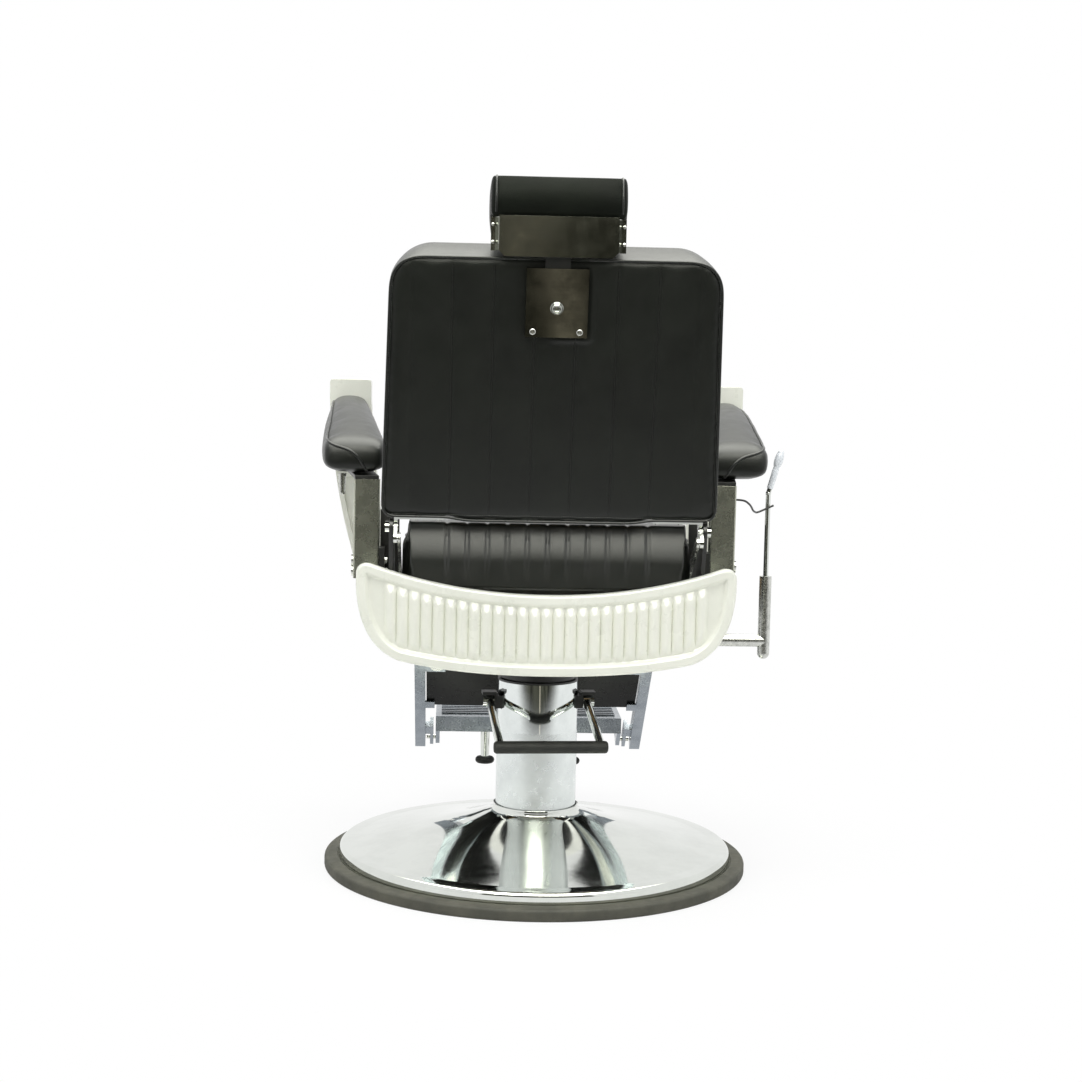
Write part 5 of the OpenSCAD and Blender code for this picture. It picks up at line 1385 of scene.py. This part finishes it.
@dataclass
class Fasteners:
    """The fasteners in sight: cross-recessed screws and the holder's clamp nut."""

    face: float = 12.2
    screw_x: float = 33.0
    screw_z: float = 282.0
    nut_z: float = 316.0

    def screw(self, centre: Vector, axis: Vector, head_r: float, head_h: float,
              shank_r: float, shank_l: float) -> Piece:
        """Makes one pan head screw with a cross recess, with its sizes in millimetres.

        Args:
            centre: Middle of the head's underside in metres.
            axis: Direction that the head faces.
            head_r: Radius of the head.
            head_h: Height of the head.
            shank_r: Radius of the shank.
            shank_l: Length of the shank.

        Returns:
            The screw.
        """
        profile = [(0, -shank_l), (shank_r, -shank_l), (shank_r, 0), (head_r, 0)]
        profile += [(head_r, head_h * 0.35)]
        profile += bezier([(head_r, head_h * 0.45), (head_r * 0.9, head_h * 0.9),
                           (head_r * 0.5, head_h), (0, head_h)], 6)
        piece = turned("screw", profile, tuple(centre / MM), tuple(axis), steps=32)
        turn = Vector((0, 0, 1)).rotation_difference(axis).to_matrix().to_4x4()
        shape = Matrix.Diagonal((head_r * 1.15 * MM, head_r * 0.26 * MM, head_h * MM, 1))
        lift = Matrix.Translation((0, 0, head_h * 1.02 * MM))
        for spin in (0.3, 0.3 + math.pi / 2):
            deselect()
            bpy.ops.mesh.primitive_cube_add(size=1)
            bit = bpy.context.object
            bit.data.transform(Matrix.Translation(centre) @ turn @ lift
                               @ Matrix.Rotation(spin, 4, "Z") @ shape)
            apply(piece, "BOOLEAN", operation="DIFFERENCE", object=bit, solver="EXACT")
            bpy.data.objects.remove(bit)
        smooth(piece, 30)
        return piece

    def build(self) -> None:
        """Makes the screws of the holder and the bracket, and the clamp nut."""
        out = BACK.along(0, 1, 0)
        pair = [self.screw(BACK.at(x, self.face, self.screw_z), out, 4.5, 2.2, 2.45, 12)
                for x in (-self.screw_x, self.screw_x)]
        give(joined("holder_screws_cross", pair), ZINC, "back", "holder_screws")
        low, high = (np.array(v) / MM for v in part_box("headrest_screws"))
        four = [self.screw(Vector((side * (high[0] - 2.5), high[1] - 1.5, z)) * MM,
                           Vector((0, 1, 0)), 2.5, 1.5, 1.45, 2.4)
                for side in (-1, 1) for z in (low[2] + 2.5, high[2] - 2.5)]
        give(joined("bracket_screws_cross", four), ZINC, "headrest", "headrest_screws")
        nut = [(0, -4), (3.95, -4), (3.95, 0), (9, 0), (9, 1.2), (8.6, 1.6), (7.4, 1.7)]
        nut += bezier([(7.4, 1.8), (7.2, 4.2), (6.2, 5), (5, 5)], 6)
        nut += [(4.0, 4.6), (3.6, 2.2), (0, 1.6)]
        middle = BACK.at(0, self.face, self.nut_z) / MM
        give(turned("holder_clamp_nut", nut, tuple(middle), tuple(out), steps=48), CHROME,
             "back", "holder_knob")


@dataclass
class Lever:
    """The recline lever's turned ivory knob, and the wire hook that steadies its rod."""

    foot: Point = (-352.0, 45.0, 606.0)
    lean_x: float = 14.0
    lean_z: float = 50.0
    wire: float = 1.6
    post: Point = (-277.0, 117.4, 600.0)
    behind: float = 50.9

    def knob(self) -> None:
        """Spins the knob round the rod's leaning end."""
        run = math.hypot(self.lean_x, self.lean_z)
        axis = Vector((-self.lean_x, 0, self.lean_z)).normalized()
        base = Vector(self.foot) + axis * (run - 8)
        profile = [(0, 8), (3.82, 8), (3.82, -36), (4.6, -36), (4.9, -35)]
        profile += [(4.9, -4), (4.5, -1)]
        profile += bezier([(5.1, 0.4), (7.2, 6), (7.6, 15), (5.0, 22)], 14)
        profile += arc((0, 22), 5.0, 0, 90, 8)[1:]
        give(turned("lever_knob_ivory", profile, tuple(base), tuple(axis), steps=48), IVORY,
             "lever", "lever_knob")

    def hook(self) -> None:
        """Bends the wire through its few turns, from the right arm post to the rod."""
        x, y, z = self.post
        turns = [(x, y, z), (x - 14, y - 4, z + 0.5), (x - 30, y - 9, z - 1),
                 (x - 40, y - 20, z - 9), (x - 47, y - 38, z - 19),
                 (x - 56, self.behind + 3, z - 24), (x - 66, self.behind, z - 20),
                 (self.foot[0] - 8, self.behind, z - 12)]
        path = relaxed(even([Vector(t) * MM for t in turns], 2 * MM), 12, closed=False)
        give(tube("lever_hook_bent", path, self.wire * MM, False), PAINT, "seat",
             "lever_hook")


@dataclass
class Gussets:
    """The black plates that close each corner between the seat, its hinge and the post."""

    inner: float = 220.6
    y: float = 112.0
    thick: float = 2.5
    low: float = 462.0
    high: float = 576.0
    clear: float = 0.3

    def build(self) -> None:
        """Makes both plates, from the hinge cheek to the post."""
        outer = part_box("arm_post_left")[0][0] / MM - self.clear
        for side, where in RIGHT_LEFT[::-1]:
            deselect()
            bpy.ops.mesh.primitive_cube_add(size=2)
            plate = bpy.context.object
            plate.name = "corner_gusset_" + where
            p = coords(plate.data)
            x = np.where(p[:, 0] < 0, self.inner, outer) * side
            y = self.y + p[:, 1] * self.thick / 2
            z = np.where(p[:, 2] < 0, self.low, self.high)
            place(plate.data, np.stack([x, y, z], 1) * MM)
            edit(plate, outward)
            apply(plate, "BEVEL", width=0.7 * MM, segments=2, limit_method="ANGLE",
                  angle_limit=math.radians(30))
            smooth(plate, 40)
            give(plate, PAINT, "seat")


# ---------------------------------------------------------------- finishes of CAD nodes

KEPT = {
    CHROME: ("pump_pedal", "pedal_pins", "footplate_posts", "lever_rod", "hinge_pins",
             "footrest_pins"),
    SLEEVE: ("column_sleeve",),
    GROUND: ("ram", "pump_plunger", "lift_cylinder", "swivel_bearing"),
    ZINC: ("base_bolts", "arm_bolts", "arm_peg", "hinge_bolts", "footrest_bolts",
           "recline_lever"),
    PAINT: ("base_plate", "pump_head", "headrest_stem"),
    BRONZE: ("ram_piston", "guide_bush"),
    TREAD: ("wiper_seal", "pedal_rubber", "post_tips"),
    PLYWOOD: ("seat_board", "back_board"),
}

EASED = (
    ("pump_yoke", "lift", PAINT, 0.8), ("swivel_hub", "seat", PAINT, 0.8),
    ("seat_frame", "seat", PAINT, 0.9), ("arm_rails", "seat", PAINT, 0.6),
    ("arm_front_left", "seat", ENAMEL, 2.2), ("arm_front_right", "seat", ENAMEL, 2.2),
    ("hinge_plates", "seat", PAINT, 0.7), ("hinge_bars", "back", CHROME, 0.6),
    ("arm_post_left", "seat", TUBE, 2.0), ("arm_post_right", "seat", TUBE, 2.0),
    ("headrest_holder", "back", PLATE_PAINTED_SHADE, 0.9), ("headrest_bracket", "headrest", BRACKET_PAINTED_SHADE, 0.7),
    ("recline_links", "links", ZINC, 0.5), ("footrest_bar_left", "footrest", ALUMINIUM, 0.8),
    ("footrest_bar_right", "footrest", ALUMINIUM, 0.8),
    ("calf_board", "footrest", LACQUER, 0.8), ("footplate", "footplate", ALUMINIUM, 0.7),
)


def dress_nodes(nodes: dict[str, Piece]) -> None:
    """Gives each kept CAD node its finish in its own material slots."""
    for finish, names in KEPT.items():
        for name in names:
            slots = nodes[name].data.materials
            for index in range(len(slots)):
                slots[index] = finish.material()
            if not slots:
                slots.append(finish.material())
            log.info("%s: %s", name, finish.name)


# ---------------------------------------------------------------- studio


@dataclass
class Studio:
    """A white sweep under soft lamps, with the room's unlit side behind the camera."""

    frame_px: float = 1082.0
    focal_px: float = 2000.0
    spot: Point = (0.1374, 3.147, 0.822)
    azimuth: float = 177.5
    pitch: float = -0.0953
    roll: float = 0.0218
    gap_x: float = 0.114
    light_rear: float = -3.4
    light_front: float = 2.9
    light_power: float = 8.0
    light_z: float = 3.0
    light_half: float = 1.7
    window_y: float = 2.0
    window_z: float = 2.1
    window_half: float = 1.05
    window_foot: float = 1.25
    window_full: float = 1.8
    window_power: float = 9.0
    side_near: float = 0.75
    side_size: float = 4.6
    side_half: float = 3.2

    def camera(self) -> None:
        """Makes the camera."""
        data = bpy.data.cameras.new("Camera")
        data.sensor_width = 36.0
        data.lens = 36.0 * self.focal_px / self.frame_px
        data.clip_start, data.clip_end = 0.05, 60.0
        cam = link("Camera", data)
        a = math.radians(self.azimuth)
        back = Vector((math.sin(a), -math.cos(a), 0))
        ahead = -back * math.cos(self.pitch) + Vector((0, 0, 1)) * math.sin(self.pitch)
        right = ahead.cross(Vector((0, 0, 1))).normalized()
        up = right.cross(ahead)
        c, s = math.cos(self.roll), math.sin(self.roll)
        turn = Matrix((right * c + up * s, up * c - right * s, -ahead)).transposed()
        cam.matrix_world = Matrix.Translation(self.spot) @ turn.to_4x4()
        bpy.context.scene.camera = cam

    def seen(self, tree: Tree) -> bpy.types.Node:
        """Builds the node that says whether a ray comes from the camera, gloss or glass."""
        path = add(tree, "LightPath").outputs
        both = add(tree, "Math", {"operation": "MAXIMUM"}, i0=path["Is Camera Ray"],
                   i1=path["Is Glossy Ray"])
        return add(tree, "Math", {"operation": "MAXIMUM"}, i0=both,
                   i1=path["Is Transmission Ray"])

    def world(self) -> None:
        """Makes the white surround, plainer for the light that it gives."""
        world = bpy.data.worlds.new("Studio")
        bpy.context.scene.world = world
        world.use_nodes = True
        tree = world.node_tree
        tree.nodes.clear()
        light = add(tree, "Background", Color=to_linear("#F6F8FA"), Strength=0.5)
        white = add(tree, "Background", Color=(1, 1, 1, 1), Strength=1.0)
        mixed = add(tree, "MixShader", i0=self.seen(tree), i1=light, i2=white)
        add(tree, "OutputWorld", Surface=mixed)

    def bare(self, name: str, look: str) -> tuple[Piece, Tree, bpy.types.NodeSocket]:
        """Names the newest mesh and gives it a bare material.

        Args:
            name: Name of the stage piece.
            look: Name of its material.

        Returns:
            The piece, the material's empty tree, and its object coordinates.
        """
        piece = bpy.context.object
        piece.name = name
        made = bpy.data.materials.new(look)
        made.use_nodes = True
        made.node_tree.nodes.clear()
        piece.data.materials.append(made)
        return piece, made.node_tree, add(made.node_tree, "TexCoord").outputs["Object"]

    def floor(self) -> None:
        """Makes the pale floor, which keeps the chair's shadow."""
        deselect()
        bpy.ops.mesh.primitive_plane_add(size=24)
        floor, tree, spot = self.bare("studio_floor", "Floor_pale")
        matt = add(tree, "BsdfDiffuse", Color=to_linear("#F4F4F2"))
        glow = add(tree, "Emission", Color=(1, 1, 1, 1), Strength=1.0)
        away = add(tree, "VectorMath", {"operation": "LENGTH"}, i0=spot)
        white = add(tree, "MapRange", SMOOTH, Value=away.outputs["Value"], From_Min=0.3,
                    From_Max=0.8, To_Min=0.86, To_Max=1.0)
        share = add(tree, "Math", {"operation": "MULTIPLY"}, i0=self.seen(tree), i1=white)
        mixed = add(tree, "MixShader", i0=share, i1=matt, i2=glow)
        add(tree, "OutputMaterial", Surface=mixed)

    def mirror_only(self, card: Piece, points: np.ndarray, tree: Tree,
                    share: bpy.types.Node, **glow: Any) -> None:
        """Ends a card that stays out of sight and out of the light, but in reflections.

        Args:
            card: The card.
            points: Where its points go, in metres.
            tree: Its material's tree.
            share: How far it glows, from 0, where it is clear, to 1.
            **glow: Colour and strength of its glow.
        """
        place(card.data, points)
        mixed = add(tree, "MixShader", i0=share, i1=add(tree, "BsdfTransparent"),
                    i2=add(tree, "Emission", **glow))
        add(tree, "OutputMaterial", Surface=mixed)
        for ray in ("camera", "diffuse", "transmission", "shadow", "volume_scatter"):
            setattr(card, "visible_" + ray, False)

    def unlit_side(self) -> None:
        """Makes the dim side of the room, which only polished surfaces show."""
        deselect()
        bpy.ops.mesh.primitive_grid_add(x_subdivisions=2, y_subdivisions=24, size=2)
        card, tree, spot = self.bare("studio_unlit_side", "Unlit_side")
        points = coords(card.data)
        v = (points[:, 1] + 1) / 2
        y = self.side_near + self.side_size * np.sin(np.clip(v / 0.7, 0, 1) * np.pi / 2)
        z = 0.002 + self.side_size * np.clip((v - 0.55) / 0.45, 0, 1) ** 1.5
        at = add(tree, "SeparateXYZ", Vector=spot).outputs
        near = add(tree, "MapRange", SMOOTH, Value=at["Y"], From_Min=self.side_near,
                   From_Max=1.6)
        lower = add(tree, "MapRange", SMOOTH, Value=at["Z"], From_Min=1.7,
                    From_Max=self.side_size, To_Min=1.0, To_Max=0.0)
        dark = add(tree, "Math", {"operation": "MULTIPLY"}, i0=near, i1=lower)
        clouds = add(tree, "TexNoise", Vector=spot, Scale=1.3, Detail=3.0, Distortion=1.4)
        spread = add(tree, "MapRange", Value=clouds, From_Min=0.36, From_Max=0.64)
        tone = add(tree, "Mix", COLOURS, i0=spread, i6=to_linear("#1F1E19"),
                   i7=to_linear("#5B5B50"))
        off = add(tree, "Math", {"operation": "ADD"}, i0=at["X"], i1=self.gap_x)
        wide = add(tree, "Math", {"operation": "ABSOLUTE"}, i0=off)
        streak = add(tree, "MapRange", SMOOTH, Value=wide, From_Min=0.012, From_Max=0.045,
                     To_Min=1.0, To_Max=0.0)
        lit = add(tree, "Mix", COLOURS, i0=streak, i6=tone.outputs[2],
                  i7=to_linear("#D9CFBC"))
        curved = np.stack([points[:, 0] * self.side_half, y, z], 1)
        self.mirror_only(card, curved, tree, dark, Color=lit.outputs[2], Strength=1.0)

    def overhead(self) -> None:
        """Hangs the broad light overhead, as the padded rolls mirror it."""
        deselect()
        bpy.ops.mesh.primitive_plane_add(size=2)
        card, tree, spot = self.bare("studio_overhead", "Overhead_light")
        points = coords(card.data)
        y = np.where(points[:, 1] < 0, self.light_rear, self.light_front)
        y_at = add(tree, "SeparateXYZ", Vector=spot).outputs["Y"]
        power = add(tree, "MapRange", SMOOTH, Value=y_at, From_Min=-3.2, From_Max=-0.2,
                    To_Min=1.0, To_Max=self.light_power)
        share = add(tree, "MapRange", SMOOTH, Value=y_at, From_Min=1.0,
                    From_Max=self.light_front, To_Min=1.0, To_Max=0.0)
        flat = np.stack([points[:, 0] * self.light_half, y, np.full(len(y), self.light_z)], 1)
        self.mirror_only(card, flat, tree, share, Color=to_linear("#FFFFF8"), Strength=power)

    def window(self) -> None:
        """Hangs the light above the camera, as the steep rear of the seat mirrors it."""
        deselect()
        bpy.ops.mesh.primitive_plane_add(size=2)
        card, tree, spot = self.bare("studio_window", "Window_light")
        points = coords(card.data)
        z_at = add(tree, "SeparateXYZ", Vector=spot).outputs["Z"]
        share = add(tree, "MapRange", SMOOTH, Value=z_at, From_Min=self.window_foot,
                    From_Max=self.window_full)
        upright = np.stack([points[:, 0], np.full(len(points), self.window_y),
                            self.window_z + points[:, 1] * self.window_half], 1)
        self.mirror_only(card, upright, tree, share, Color=to_linear("#FFFFF4"),
                         Strength=self.window_power)

    def lamp(self, name: str, spot: Point, aim: Point, size: float, watts: float) -> None:
        """Hangs one soft square lamp, which no polished surface shows."""
        data = bpy.data.lights.new(name, "AREA")
        data.shape = "SQUARE"
        data.size = size
        data.energy = watts
        lamp = link(name, data)
        lamp.location = spot
        lamp.visible_glossy = False
        lamp.rotation_euler = (Vector(aim) - Vector(spot)).to_track_quat("-Z", "Y").to_euler()

    def build(self) -> None:
        """Makes the camera, the surround, the cards and the lamps."""
        self.camera()
        bpy.context.scene.view_settings.view_transform = "Standard"
        self.world()
        self.floor()
        self.unlit_side()
        self.overhead()
        self.window()
        self.lamp("Softbox_top", (0.2, 1.0, 3.2), (0, 0.2, 0.5), 2.4, 80)
        self.lamp("Softbox_right", (-2.6, 2.4, 1.9), (0, 0.1, 0.5), 1.4, 26)
        self.lamp("Softbox_left", (2.8, 1.8, 1.6), (0, 0.1, 0.5), 1.4, 16)
        self.lamp("Softbox_front", (0.4, -3.0, 2.2), (0, 0, 0.5), 1.8, 26)
        log.info("studio ready")


# ---------------------------------------------------------------- the chair


def mirrored(source: Stuffed, name: str, node: str) -> None:
    """Copies an arm pad and its welt to the chair's other side.

    Args:
        source: The finished pad.
        name: Name of the new pad.
        node: The node that the new pad stands for.
    """
    welt, new_welt = (n.replace("cushion", "welt") for n in (source.name, name))
    for old, new, stands_for in ((source.piece, name, node),
                                 (bpy.data.objects[welt], new_welt, "")):
        piece = link(new, old.data.copy())
        place(piece.data, coords(piece.data) * np.array([-1.0, 1.0, 1.0]))
        edit(piece, lambda: bpy.ops.mesh.flip_normals())
        give(piece, source.finish, source.body, stands_for)


def main() -> None:
    """Builds the studio and the chair."""
    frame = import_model()
    bpy.context.scene.render.fps = CLOTH_RATE
    Studio().build()
    base = Base()
    base.dish()
    base.ring()
    Skirt().build()
    arm = ArmPad("arm_pad_left", "seat", "arm_cushion_left", 5.0, 2.5, 5.0, (2.0, 2.0, 2.0))
    for soft in (
        SeatCushion("seat_cushion", "seat", "seat_cushion_vinyl", 5.5, 2.0, 5.0,
                    (0.3, 2.0, 2.0)),
        BackCushion("back_cushion", "back", "back_cushion_vinyl", 6.0, 2.5, 6.0,
                    (1.0, 3.0, 1.0)),
        RearPanel("back_panel", "back", "back_panel_vinyl", 5.0, 1.0, 2.5, (1.0, 4.0, 1.0)),
        HeadrestPad("headrest_pad", "headrest", "headrest_cushion_vinyl", 4.0, 2.0, 5.0,
                    (2.0, 0.0, 2.0)),
        arm,
    ):
        soft.build()
    mirrored(arm, "arm_cushion_right", "arm_pad_right")
    CalfPad("calf_pad", "footrest", "calf_cushion_vinyl", 5.0, 2.0, 5.0,
            (1.0, 2.0, 2.0)).build()
    for row in EASED:
        eased(*row)
    Fasteners().build()
    Lever().knob()
    Lever().hook()
    Gussets().build()
    dress_nodes(frame["nodes"])
    deselect()


if __name__ == "__main__":
    logging.basicConfig(level=logging.INFO, format="%(name)s: %(message)s")
    main()
